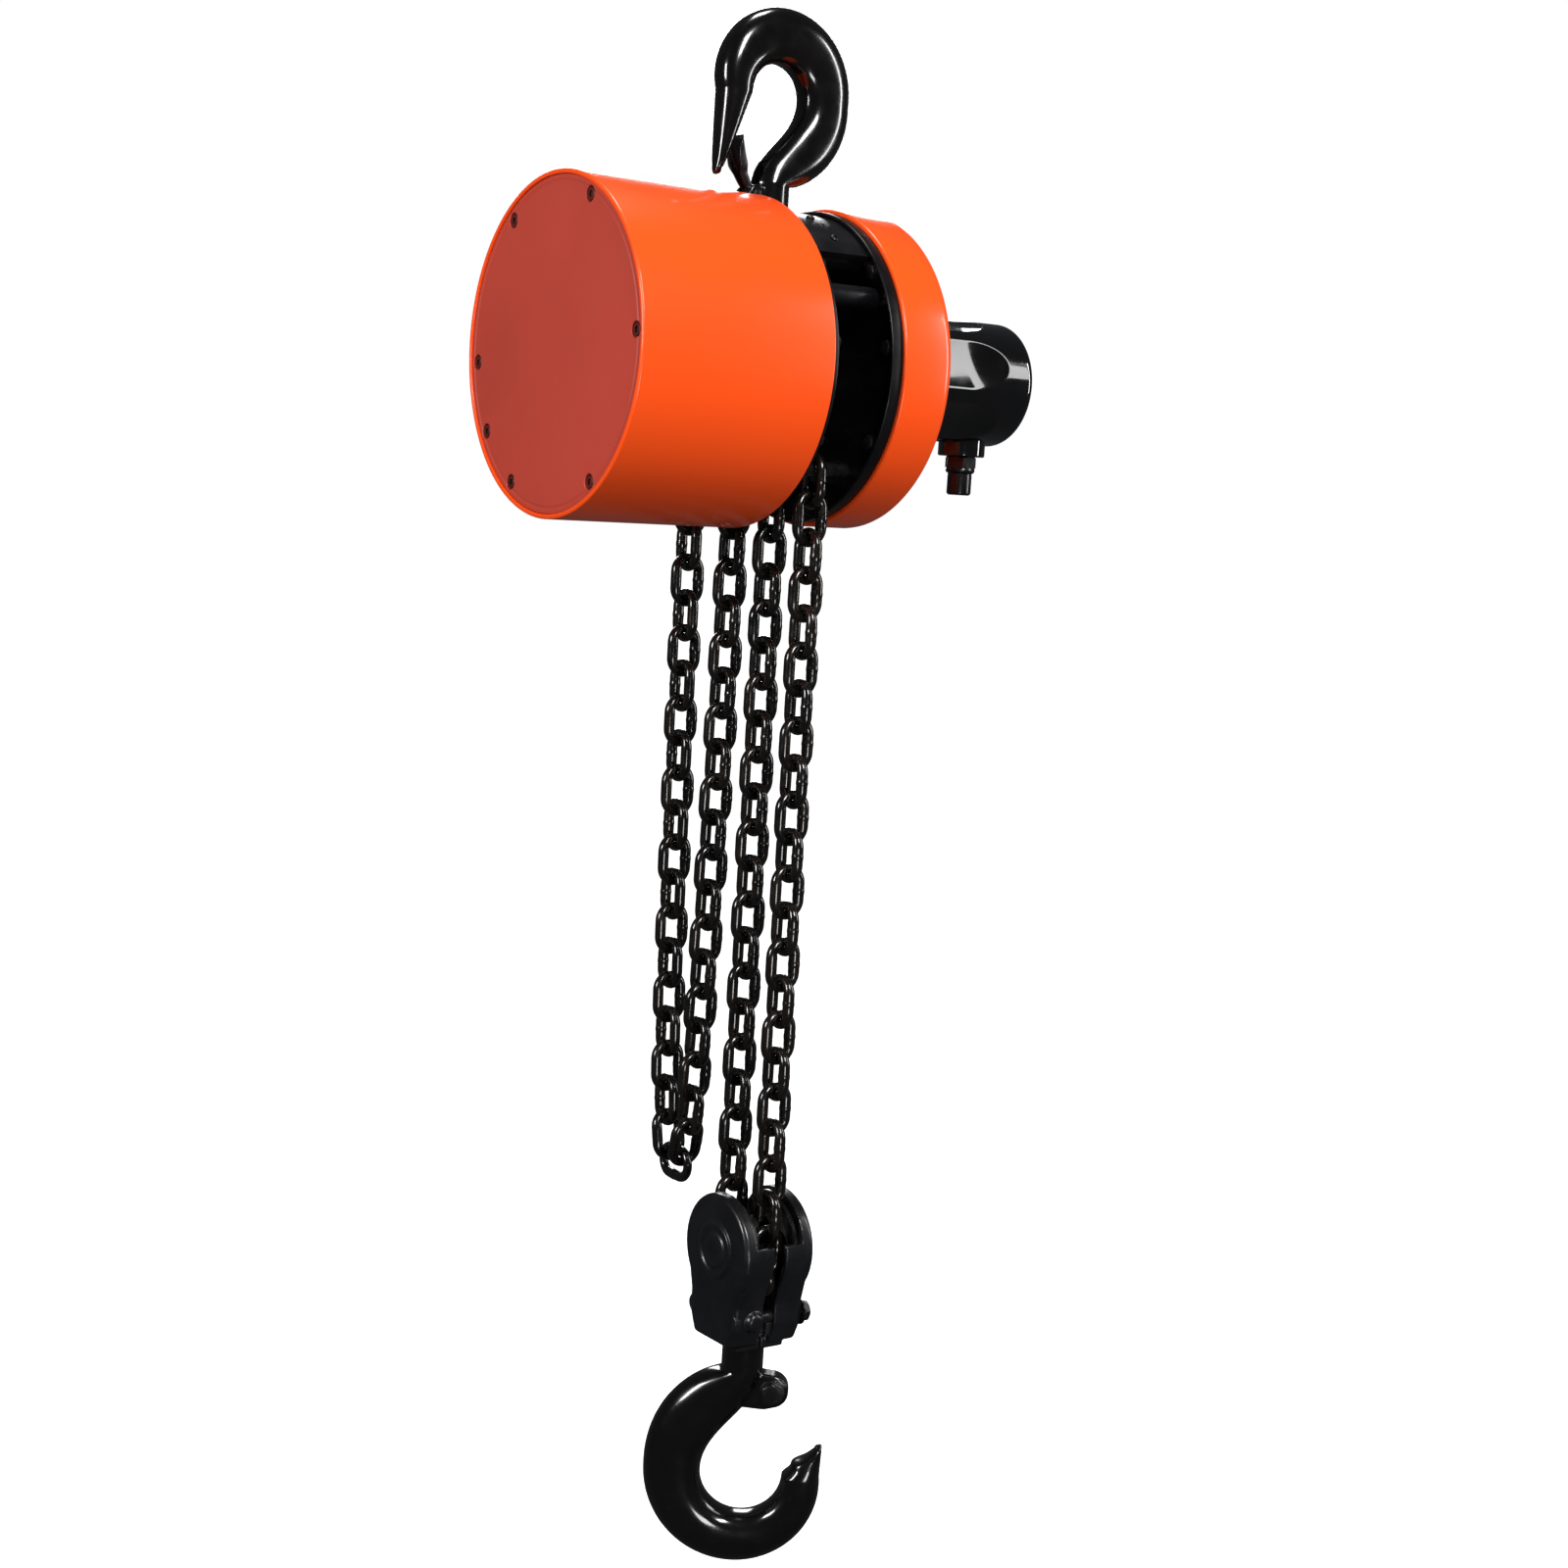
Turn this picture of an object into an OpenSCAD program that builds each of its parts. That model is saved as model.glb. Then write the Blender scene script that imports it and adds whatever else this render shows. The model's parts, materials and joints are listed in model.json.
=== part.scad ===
/* [Chain] */
// Inner length of a link, which is the chain's pitch
pitch = 30; // [30:1:30]
// Diameter of the link wire
wire_d = 8; // [8:0.5:8]
// Outer width of a link
link_w = 32; // [32:1:32]
// Pitches from the load sheave down to the hook block's sheave
fall_links = 24; // [22:2:30]
// Pitches that the block travels between its lowest and highest place
lift_links = 10; // [4:2:10]
// Pitches from the load sheave down to the foot of the slack loop
slack_links = 23; // [15:2:25]
// Width scale of the slack loop's catenary
slack_scale = 6.2; // [5.5:0.1:7.5]

/* [Housing] */
// Radius of the motor barrel
barrel_r = 132; // [130:1:136]
// Length of the motor barrel
barrel_l = 173; // [165:1:185]
// Radius of the rear gear case
case_r = 128; // [126:1:132]
// Depth of the rear gear case
case_l = 49; // [49:1:56]
// Wall of the barrel and the case
wall = 6; // [5:0.5:7]
// Radius of the rear cap
cap_r = 52; // [50:1:54]
// Length of the rear cap
cap_l = 150; // [140:1:165]
// Distance of the housings' centre in front of the drive axis
housing_y = 16; // [10:1:18]

/* [Frame] */
// Thickness of each side plate
plate_t = 8; // [8:1:8]
// Radius of the side plates
plate_r = 125; // [124:1:127]
// Clear gap from the chain's plane to the front plate
gap_front = 23; // [23:1:26]
// Clear gap from the chain's plane to the rear plate
gap_rear = 31; // [28:1:34]
// Height of the top hook's seat above the drive axis
seat_h = 238; // [236:1:250]

/* [Hooks] */
// Inner radius of the top hook's bowl
top_bowl_r = 25; // [24:1:27]
// Thickness of the top hook
top_hook_t = 34; // [30:1:38]
// Inner radius of the load hook's bowl
low_bowl_r = 34; // [32:1:36]
// Thickness of the load hook
low_hook_t = 38; // [32:1:40]
// Radius of both hook shanks where they turn
shank_r = 13; // [12:0.5:13]
// Angle of the load hook's plane from the barrel, which turns freely in the block
hook_turn = -36; // [-90:1:90]

/* [Hidden] */
$fn = 48;

// gap left between touching pieces that move, and radial running clearance
air = 0.03;
run = 0.05;
orange = "orangered";
cover_red = "firebrick";
black = [0.06, 0.06, 0.07];
steel = [0.62, 0.63, 0.66];
copper = [0.72, 0.42, 0.2];

// chain: distances from a link's centre, along the link
wire_r = wire_d / 2;
crown_r = link_w / 2 - wire_r;
flat_arm = pitch / 2 + wire_r;
stand_arm = flat_arm - crown_r;
joint = wire_r;

// a chain wheel turns 60 degrees for each link: radii of the two kinds of link centre
step = 60;
flat_r = (joint * cos(step / 2) + stand_arm + flat_arm * cos(step)) / sin(step);
stand_r = (joint * cos(step / 2) + flat_arm + stand_arm * cos(step)) / sin(step);

// places across the hoist, Y from the drive axis, and heights from the top hook's seat
axis_z = -seat_h;
load_y = -stand_r;
slack_y = flat_r;
even_fall = fall_links % 2 == 0;
idler_y = load_y - (even_fall ? stand_r : flat_r);
dead_y = idler_y - (even_fall ? flat_r : stand_r);
idler_z = axis_z - fall_links * pitch;

// places along the barrel, X from the chain's plane
front_x = -gap_front - plate_t - barrel_l;
barrel_end = -gap_front - plate_t;
case_x = gap_rear + plate_t;
case_end = case_x + case_l;
cap_end = case_end + cap_l;

// ---------- helpers ----------

// turns a shape that is drawn along Z so that it runs along X from x0
module along_x(x0, y = 0, z = 0) {
    translate([x0, y, z]) rotate([90, 0, 90]) children();
}

module rod_x(x0, x1, r, y = 0, z = 0) {
    along_x(x0, y, z) cylinder(h = x1 - x0, r = r);
}

module ring_x(x0, x1, outer, inner, y = 0, z = 0) {
    along_x(x0, y, z) difference() {
        cylinder(h = x1 - x0, r = outer);
        translate([0, 0, -1]) cylinder(h = x1 - x0 + 2, r = inner);
    }
}

module hex_x(x0, x1, r, y = 0, z = 0) {
    along_x(x0, y, z) cylinder(h = x1 - x0, r = r, $fn = 6);
}

// one rod for each screw that holds a housing to its side plate, on the housing's axis
module flange_screws(x0, x1, r) {
    for (a = [140, 172, 210, 250, 290, 322])
        rod_x(x0, x1, r, -housing_y + 116 * cos(a), 116 * sin(a));
}

// centre of a housing circle position at an angle from +Y, on the housing's own axis
function on_housing(r, a) = [-housing_y + r * cos(a), axis_z + r * sin(a)];

// ---------- chain ----------

// one link standing on end along Z, with its ring in the plane of Z and Y
module link() {
    r = wire_r - air;
    for (s = [-1, 1]) {
        translate([0, s * crown_r, -stand_arm]) cylinder(h = 2 * stand_arm, r = r, $fn = 24);
        translate([0, 0, s * stand_arm]) rotate([0, 90, 0]) rotate([0, 0, s > 0 ? 90 : -90])
            rotate_extrude(angle = 180, $fn = 32) translate([crown_r, 0]) circle(r = r, $fn = 24);
    }
}

// a link at y, z; tilt is its angle from the vertical and flat turns its ring across X
module link_at(y, z, tilt = 0, flat = false) {
    translate([0, y, z]) rotate([tilt, 0, 0]) rotate([0, 0, flat ? 90 : 0]) link();
}

// straight fall with links numbered by the pitches below the drive axis
module fall(y, first, last) {
    for (i = [first:last])
        link_at(y, axis_z - i * pitch, 0, i % 2 == 1);
}

// four links over a wheel, by turns flat and standing, from the +Y side round by turn
module wrap(y, z, turn, first_flat) {
    for (i = [0:3]) {
        flat = (i % 2 == 0) == first_flat;
        r = flat ? flat_r : stand_r;
        a = i * step * turn;
        link_at(y + r * cos(a), z + r * sin(a), a, flat);
    }
}

// slack loop: the links' tilts follow a catenary, and each link's centre follows the last
function slack_tilt(i) =
    let (s = (slack_links - i) * pitch)
    s == 0 ? 90 : (s > 0 ? atan(slack_scale / s) : 180 + atan(slack_scale / s));
function arm(i) = i % 2 == 0 ? flat_arm : stand_arm;
function way(a) = [sin(a), -cos(a)];
function slack_place(i) = i == 0 ? [slack_y, axis_z] :
    let (a = i == 1 ? 0 : slack_tilt(i - 1), b = slack_tilt(i))
    slack_place(i - 1) + arm(i - 1) * way(a) + joint * way((a + b) / 2) + arm(i) * way(b);
slack_last = 2 * slack_links - 1;
slack_end = slack_place(slack_last);
anchor_r = 6;
slack_pin_z = slack_end[1] + pitch / 2 - anchor_r - 0.1;
dead_pin_z = axis_z - 2.5 * pitch - anchor_r - 0.1;

module sheave_wrap() {
    color(black) wrap(0, axis_z, 1, true);
}

module idler_wrap() {
    color(black) wrap(idler_y, idler_z, -1, !even_fall);
}

fall_split = fall_links - 1 - lift_links;

module load_fall_upper() {
    color(black) fall(load_y, 1, fall_split);
}

module load_fall_lower() {
    color(black) fall(load_y, fall_split + 1, fall_links - 1);
}

module dead_fall_upper() {
    color(black) for (i = [3:fall_split])
        link_at(dead_y, axis_z - i * pitch, 0, i % 2 == 0);
}

module dead_fall_lower() {
    color(black) for (i = [fall_split + 1:fall_links - 1])
        link_at(dead_y, axis_z - i * pitch, 0, i % 2 == 0);
}

module slack_chain() {
    color(black) for (i = [1:slack_last]) {
        p = slack_place(i);
        link_at(p[0], p[1], slack_tilt(i), i % 2 == 0);
    }
}

// ---------- chain wheels ----------

wheel_r = 30;
wheel_half = 21;
flange_r = 40;
groove_half = wire_r + 1.2;
groove_r = stand_r - link_w / 2 - 0.4;
pocket_r = flat_r - wire_r - 0.35;

// a wheel with three pockets for flat links and a groove for standing ones
module chain_wheel(bore) {
    difference() {
        union() {
            rod_x(-wheel_half, wheel_half, wheel_r);
            for (s = [-1, 1])
                rod_x(s > 0 ? 17.5 : -wheel_half, s > 0 ? wheel_half : -17.5, flange_r);
        }
        ring_x(-groove_half, groove_half, flange_r, groove_r);
        for (a = [0:120:240])
            along_x(0) rotate([0, 0, a]) translate([pocket_r, 0, 0]) rotate([0, 90, 0])
                rotate([0, 0, 90]) pocket();
        rod_x(-wheel_half - 1, wheel_half + 1, bore);
    }
}

// the space of a flat link with clearance, growing outwards along Z
module pocket() {
    clear = 0.6;
    round_r = link_w / 2 + clear;
    linear_extrude(height = 30) {
        square([2 * stand_arm, 2 * round_r], center = true);
        for (s = [-1, 1])
            translate([s * stand_arm, 0]) circle(r = round_r);
    }
}

sheave_bore = 8;
journal_r = 18;

module load_sheave() {
    color(steel) translate([0, 0, axis_z]) difference() {
        union() {
            chain_wheel(sheave_bore);
            rod_x(barrel_end, -wheel_half, journal_r);
            rod_x(wheel_half, case_x + 16, journal_r);
        }
        rod_x(barrel_end - 1, case_x + 20, sheave_bore);
    }
}

module sheave_bearings() {
    color(steel) translate([0, 0, axis_z]) {
        ring_x(barrel_end, -gap_front, 26, journal_r + run);
        ring_x(gap_rear, case_x, 26, journal_r + run);
    }
}

module idler_sheave() {
    color(steel) translate([0, idler_y, idler_z]) rotate([even_fall ? 180 : 0, 0, 0])
        chain_wheel(10.5);
}

module idler_bush() {
    color(copper) ring_x(-wheel_half, wheel_half, 10.5, 8 + run, idler_y, idler_z);
}

module idler_axle() {
    color(steel) rod_x(-shell_out - boss_t, shell_out + boss_t, 8, idler_y, idler_z);
}

// ---------- gear train ----------

// outline of a spur gear with straight-sided teeth and some backlash
function gear_outline(teeth, module_mm) = [
    for (i = [0:teeth - 1], k = [0:3])
        let (pitch_r = teeth * module_mm / 2,
             r = (k == 0 || k == 3) ? pitch_r - 1.2 * module_mm : pitch_r + 0.9 * module_mm,
             half = 360 / teeth * ((k == 0 || k == 3) ? 0.3 : 0.115),
             a = i * 360 / teeth + (k < 2 ? -half : half))
        [r * cos(a), r * sin(a)]
];

module gear(x0, x1, teeth, module_mm, phase = 0) {
    along_x(x0) rotate([0, 0, phase]) linear_extrude(height = x1 - x0)
        polygon(gear_outline(teeth, module_mm));
}

lay_h = 60;
lay_r = 6;
low_gear = [case_x + 3, case_x + 15];
high_gear = [case_x + 21, case_x + 31];

module sheave_gear() {
    color(steel) translate([0, 0, axis_z]) difference() {
        gear(low_gear[0], low_gear[1], 36, 2.5);
        rod_x(case_x, case_x + 20, journal_r);
    }
}

module lay_gear(z) {
    color(steel) translate([0, 0, z]) {
        rod_x(gap_rear + 1.3, case_end - wall + 2, lay_r);
        gear(low_gear[0] - 1, low_gear[1] + 1, 12, 2.5, 15);
        gear(high_gear[0], high_gear[1], 48, 2, 3.75);
    }
}

module lay_gear_upper() {
    lay_gear(axis_z + lay_h);
}

module lay_gear_lower() {
    lay_gear(axis_z - lay_h);
}

// ---------- motor ----------

motor_x = [-150, -72];
rotor_r = 55;
stator_r = 88;
shaft_r = 12;

module drive_shaft() {
    color(steel) translate([0, 0, axis_z]) {
        rod_x(-184, -46, shaft_r);
        rod_x(-46, high_gear[0] - 1, sheave_bore - run);
        gear(high_gear[0] - 1, high_gear[1] + 2, 12, 2);
    }
}

module motor_rotor() {
    color(steel) ring_x(motor_x[0], motor_x[1], rotor_r, shaft_r, 0, axis_z);
}

module motor_stator() {
    color(steel) ring_x(motor_x[0], motor_x[1], stator_r, rotor_r + 0.6, 0, axis_z);
}

module stator_windings() {
    color(copper) for (x = [motor_x[0] - 8, motor_x[1]])
        ring_x(x, x + 8, 82, 64, 0, axis_z);
}

module motor_end_shields() {
    color(steel) translate([0, 0, axis_z]) {
        ring_x(motor_x[0] - 16, motor_x[0] - 8, 92, 20);
        ring_x(motor_x[1] + 8, motor_x[1] + 16, 92, 20);
    }
}

module rotor_bearings() {
    color(steel) translate([0, 0, axis_z]) {
        ring_x(motor_x[0] - 16, motor_x[0] - 6, 20, shaft_r + run);
        ring_x(motor_x[1] + 8, motor_x[1] + 16, 20, shaft_r + run);
    }
}

module brake_disc() {
    color(steel) ring_x(-173, -169, 60, shaft_r, 0, axis_z);
}

module brake_magnet() {
    color(black) translate([0, 0, axis_z]) {
        ring_x(-190, -174, 74, shaft_r + 3);
        for (a = [45:90:315])
            rod_x(-178, -166, 5, 68 * cos(a), 68 * sin(a));
    }
}

// ---------- housings ----------

screw_ring = 0.905 * barrel_r;
cover_r = barrel_r - 4;
cover_t = 5;
cover_set = 1.5;
land_x = front_x + cover_set + cover_t + 1;

function cover_angles() = [54, 112, 175, -122, -62, -34, -6];

module motor_barrel() {
    seat = [motor_x[0] - 16, motor_x[1] + 16];
    rib_r = stator_r + 6;
    color(orange) translate([0, 0, axis_z]) {
        difference() {
            along_x(0, -housing_y) rotate_extrude($fn = 96) polygon([
                [cover_r + 0.2, front_x], [barrel_r - 1, front_x], [barrel_r, front_x + 1],
                [barrel_r, barrel_end - 1], [barrel_r - 1, barrel_end],
                [barrel_r - 22, barrel_end], [barrel_r - 22, barrel_end - 8],
                [barrel_r - wall, barrel_end - 8], [barrel_r - wall, land_x + 10],
                [barrel_r - 20, land_x + 10], [barrel_r - 20, land_x], [cover_r + 0.2, land_x]
            ]);
            flange_screws(barrel_end - 9, barrel_end + 1, 3);
            translate([0, 0, -axis_z]) {
                stays(barrel_end - 9, barrel_end + 1, 6);
                for (s = [-1, 1])
                    rod_x(barrel_end - 9, barrel_end + 1, 10, s * yoke_bolt_y, yoke_bolt_z);
            }
        }
        ring_x(seat[0], seat[1], stator_r + 8, stator_r + 4);
        ring_x(motor_x[0], motor_x[1], stator_r + 5, stator_r);
        for (a = [30:60:330])
            along_x(seat[0]) rotate([0, 0, a]) translate([rib_r, -3, 0])
                cube([barrel_r - wall + 2 - rib_r - housing_y * cos(a), 6, seat[1] - seat[0]]);
    }
}

module front_cover() {
    color(cover_red) translate([0, -housing_y, axis_z]) difference() {
        rod_x(front_x + cover_set, front_x + cover_set + cover_t, cover_r);
        for (a = cover_angles())
            rod_x(front_x, front_x + 20, 3.2, screw_ring * cos(a), screw_ring * sin(a));
        for (a = cover_angles())
            rod_x(front_x, front_x + cover_set + 3.5, 5.6,
                screw_ring * cos(a), screw_ring * sin(a));
    }
}

module cover_gasket() {
    color(black) translate([0, -housing_y, axis_z]) difference() {
        ring_x(land_x - 1, land_x, cover_r, barrel_r - 20);
        for (a = cover_angles())
            rod_x(land_x - 2, land_x + 1, 3.2, screw_ring * cos(a), screw_ring * sin(a));
    }
}

module cover_screws() {
    color(steel) translate([0, -housing_y, axis_z]) for (a = cover_angles())
        translate([0, screw_ring * cos(a), screw_ring * sin(a)]) difference() {
            union() {
                rod_x(front_x + cover_set + 0.5, front_x + cover_set + 3.5, 5);
                rod_x(front_x + cover_set + 3, land_x, 3);
            }
            hex_x(front_x, front_x + cover_set + 2.4, 2.6);
        }
}

module gear_case() {
    color(orange) translate([0, 0, axis_z]) difference() {
        union() {
            along_x(0, -housing_y) rotate_extrude($fn = 96) polygon([
                [case_r - wall, case_x], [case_r - 1, case_x], [case_r, case_x + 1],
                [case_r, case_end - 3], [case_r - 3, case_end], [0, case_end],
                [0, case_end - wall], [case_r - wall, case_end - wall]
            ]);
            for (s = [-1, 1])
                rod_x(case_end - wall - 6, case_end - wall + 1, 12, 0, s * lay_h);
            intersection() {
                flange_screws(case_x, case_x + 14, 8);
                rod_x(case_x, case_end, case_r - 1, -housing_y);
            }
        }
        for (s = [-1, 1])
            rod_x(case_end - wall - 8, case_end - wall + 3, lay_r + run, 0, s * lay_h);
        flange_screws(case_x - 1, case_x + 10, 3);
    }
}

module case_screws() {
    color(steel) translate([0, 0, axis_z]) {
        flange_screws(gap_rear - 4, gap_rear, 5.5);
        flange_screws(gap_rear, case_x + 10, 3);
    }
}

module barrel_screws() {
    color(steel) translate([0, 0, axis_z]) {
        flange_screws(-gap_front, 4 - gap_front, 5.5);
        flange_screws(barrel_end - 8, -gap_front, 3);
    }
}

gland_x = cap_end - 34;
cap_wall = 9;
pad_h = 10;

module cap_profile() {
    polygon(concat(
        [[cap_r - cap_wall, case_end], [cap_r + 2, case_end], [cap_r + 2, case_end + 4],
         [cap_r, case_end + 6]],
        [for (a = [0:15:90]) [cap_r - 8 + 8 * cos(a), cap_end - 8 + 8 * sin(a)]],
        [[0, cap_end], [0, cap_end - cap_wall], [cap_r - cap_wall - 4, cap_end - cap_wall],
         [cap_r - cap_wall, cap_end - cap_wall - 4]]
    ));
}

module rear_cap() {
    flute_r = 120;
    flute_depth = 6.3;
    flute_end = case_end + 0.54 * cap_l;
    color(black) translate([0, -housing_y, axis_z]) difference() {
        union() {
            difference() {
                along_x(0) rotate_extrude($fn = 96) cap_profile();
                for (a = [14:60:314])
                    rotate([a, 0, 0]) translate([0, 0, cap_r + flute_r - flute_depth]) {
                        rod_x(case_end + 8, flute_end, flute_r);
                        translate([flute_end, 0, 0]) sphere(r = flute_r);
                    }
            }
            difference() {
                translate([gland_x, 0, -cap_r - pad_h]) cylinder(h = 20, r = 20);
                rod_x(gland_x - 30, gland_x + 30, cap_r - cap_wall);
            }
        }
        translate([gland_x, 0, -cap_r - pad_h - 1])
            cylinder(h = pad_h + cap_wall + 2, r = 10);
    }
}

module cap_screws() {
    color(steel) translate([0, -housing_y, axis_z]) for (a = [45:90:315])
        hex_x(case_end, case_end + 3, 3, (cap_r + 6) * cos(a), (cap_r + 6) * sin(a));
}

module contactor_block() {
    color([0.3, 0.32, 0.35]) translate([case_end, -housing_y - 26, axis_z - 18])
        cube([72, 52, 46]);
}

module gland_body() {
    color(black) translate([gland_x, -housing_y, axis_z - cap_r - pad_h]) difference() {
        union() {
            cylinder(h = pad_h + cap_wall + 3, r = 10);
            translate([0, 0, -13]) cylinder(h = 13, r = 8);
        }
        translate([0, 0, -14]) cylinder(h = 50, r = 6);
    }
}

module gland_nut() {
    color(black) translate([gland_x, -housing_y, axis_z - cap_r - pad_h]) difference() {
        union() {
            translate([0, 0, -14]) cylinder(h = 14, r = 14, $fn = 6);
            translate([0, 0, -33]) cylinder(h = 19, r = 10.5);
        }
        translate([0, 0, -13]) cylinder(h = 14, r = 8);
        translate([0, 0, -34]) cylinder(h = 35, r = 6);
    }
}

// ---------- frame ----------

stay_angles = [12, 50, 128, 150];

module stays(x0, x1, r) {
    for (a = stay_angles) {
        p = on_housing(106, a);
        rod_x(x0, x1, r, p[0], p[1]);
    }
}

yoke_z = [axis_z + 86, axis_z + 112];
yoke_bolt_y = 22;
yoke_bolt_z = axis_z + 99;
stripper_z = axis_z - 72;
stripper_y = (load_y + slack_y) / 2;

module plate_holes(x0) {
    stays(x0, x0 + 20, 5);
    for (s = [-1, 1])
        rod_x(x0, x0 + 20, 5, s * yoke_bolt_y, yoke_bolt_z);
    rod_x(x0, x0 + 20, 26, 0, axis_z);
    rod_x(x0, x0 + 20, anchor_r, dead_y, dead_pin_z);
    rod_x(x0, x0 + 20, anchor_r, slack_end[0], slack_pin_z);
    rod_x(x0, x0 + 20, 4, stripper_y, stripper_z);
}

module front_side_plate() {
    color(black) difference() {
        rod_x(barrel_end, -gap_front, plate_r, -housing_y, axis_z);
        plate_holes(barrel_end - 5);
        translate([0, 0, axis_z]) flange_screws(barrel_end - 1, 0, 3);
    }
}

module rear_side_plate() {
    color(black) difference() {
        union() {
            rod_x(gap_rear, case_x, plate_r, -housing_y, axis_z);
            ring_x(gap_rear - 3, gap_rear + 1, plate_r, plate_r - 3, -housing_y, axis_z);
        }
        plate_holes(gap_rear - 5);
        translate([0, 0, axis_z]) flange_screws(gap_rear - 1, case_x + 1, 3);
        for (s = [-1, 1])
            rod_x(gap_rear + 1, case_x + 1, lay_r + run, 0, axis_z + s * lay_h);
    }
}

module stay_bolts() {
    color(steel) {
        stays(-gap_front, gap_rear, 9);
        stays(barrel_end - 5, case_x + 5, 5);
    }
}

module top_yoke() {
    color(black) difference() {
        translate([-gap_front, -30, yoke_z[0]])
            cube([gap_front + gap_rear, 60, yoke_z[1] - yoke_z[0]]);
        translate([0, 0, yoke_z[0] - 1]) cylinder(h = 40, r = shank_r + run);
        for (s = [-1, 1])
            rod_x(-gap_front - 1, gap_rear + 1, 5, s * yoke_bolt_y, yoke_bolt_z);
    }
}

module yoke_bolts() {
    color(steel) for (s = [-1, 1]) {
        rod_x(barrel_end - 6, case_x + 7, 5, s * yoke_bolt_y, yoke_bolt_z);
        hex_x(barrel_end - 6, barrel_end, 9, s * yoke_bolt_y, yoke_bolt_z);
        hex_x(case_x, case_x + 7, 9, s * yoke_bolt_y, yoke_bolt_z);
    }
}

// wall that closes the gap over the top and down the far side
module frame_web() {
    color(black) difference() {
        ring_x(-gap_front, gap_rear, 121, 116.5, -housing_y, axis_z);
        translate([-50, -200, axis_z - 200]) cube([100, 400, 206]);
        translate([-50, -200, axis_z - 200]) cube([100, 200 - housing_y - 84, 400]);
        translate([-50, -30, axis_z]) cube([100, 60, 200]);
    }
}

module fall_anchor_pin() {
    color(steel) rod_x(barrel_end, case_x, anchor_r, dead_y, dead_pin_z);
}

module slack_anchor_pin() {
    color(steel) rod_x(barrel_end, case_x, anchor_r, slack_end[0], slack_pin_z);
}

module chain_stripper() {
    color(steel) {
        rod_x(barrel_end, case_x, 4, stripper_y, stripper_z);
        translate([-16, stripper_y - 8, stripper_z - 10]) cube([32, 16, 39]);
        translate([-wire_r - 0.5, stripper_y - 6, stripper_z]) cube([2 * wire_r + 1, 12, 48]);
    }
}

module chain_guide() {
    color(black) difference() {
        translate([-gap_front, load_y - 26, axis_z - 92])
            cube([gap_front + gap_rear, slack_y - load_y + 52, 9]);
        for (y = [load_y, slack_y])
            translate([-18.5, y - 18.5, axis_z - 100]) cube([37, 37, 30]);
    }
}

// ---------- hooks ----------

function mix(a, b, u) = a + (b - a) * u;
function bezier(p, u) = p[0] * pow(1 - u, 3) + 3 * p[1] * pow(1 - u, 2) * u
    + 3 * p[2] * (1 - u) * u * u + p[3] * pow(u, 3);
// outer radius round the bowl: v is 0 at the nose side, 1 below and 2 at the back
function outer_r(reach, v) =
    reach[0] * (v - 1) * (v - 2) / 2 - reach[1] * v * (v - 2) + reach[2] * v * (v - 1) / 2;

// stations from the tip to the shank, each as inner point, outer point, half thickness.
// reach holds the bowl's outer radius at the nose side, below and at the back, and lean is how
// far the bowl's centre lies from the shank's axis, towards the nose
function hook_stations(r, t, reach, nose_h, neck_r, neck_h, lean) = concat(
    [for (u = [0, 0.2, 0.4, 0.6, 0.8])
        [mix([reach[0] - 6, nose_h - 4], [r, 0], u), mix([reach[0] + 1, nose_h], [reach[0], 0], u),
         mix(3, 0.42 * t, sqrt(u))]],
    [for (v = [0:1 / 7:2.001])
        let (d = [cos(-90 * v), sin(-90 * v)])
        [r * d, outer_r(reach, v) * d, mix(0.42, 0.5, min(1, v)) * t]],
    [for (u = [1 / 7:1 / 7:1.001])
        [bezier([[-r, 0], [-r, 1.1 * r], [0.9 * neck_r - lean, 0.6 * neck_h],
                 [neck_r - lean, neck_h]], u),
         bezier([[-reach[2], 0], [-reach[2] - 3, 0.68 * neck_h], [-2 * neck_r - lean, neck_h],
                 [-neck_r - lean, neck_h]], u),
         mix(0.5 * t, neck_r, u)]]
);

// closed body swept through the stations, in the plane of X and Z, with the nose at +X
module hook_body(r, t, reach, nose_h, neck_r, neck_h, lean = 0) {
    stations = hook_stations(r, t, reach, nose_h, neck_r, neck_h, lean);
    sides = 16;
    points = [for (s = stations, k = [0:sides - 1])
        let (mid = (s[0] + s[1]) / 2, half = (s[1] - s[0]) / 2, a = 360 * k / sides)
        [lean + mid[0] + half[0] * cos(a), s[2] * sin(a), mid[1] + half[1] * cos(a)]];
    last = len(stations) - 1;
    polyhedron(points, concat(
        [[for (k = [sides - 1:-1:0]) k]],
        [for (i = [0:last - 1], k = [0:sides - 1])
            let (n = (k + 1) % sides)
            [i * sides + k, i * sides + n, (i + 1) * sides + n, (i + 1) * sides + k]],
        [[for (k = [0:sides - 1]) last * sides + k]]
    ));
}

top_reach = [54, 70, 69];
top_nose_h = 66;
top_neck = 16;
top_neck_h = 70;
low_reach = [66, 76, 82];
low_lean = 4;
low_nose_h = 27;
low_neck = 17.5;
low_neck_h = 90;
foot_h = 83;
foot_drop = 113;
block_foot = idler_z - foot_h;
bowl_z = block_foot - foot_drop;

latch_x = -19;
latch_z = -104;
latch_root = 6;
latch_pin_r = 2.5;
latch_tip = [-33, -62];
latch_half = 3;
latch_slot = 6.5;

// latch plate outline in X and Z: from the pin up to the inside of the nose
module latch_shape() {
    difference() {
        hull() {
            translate([latch_x, latch_z]) circle(r = latch_root);
            translate(latch_tip) circle(r = 4);
        }
        translate([latch_x, latch_z]) circle(r = latch_pin_r + run);
    }
}

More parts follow.
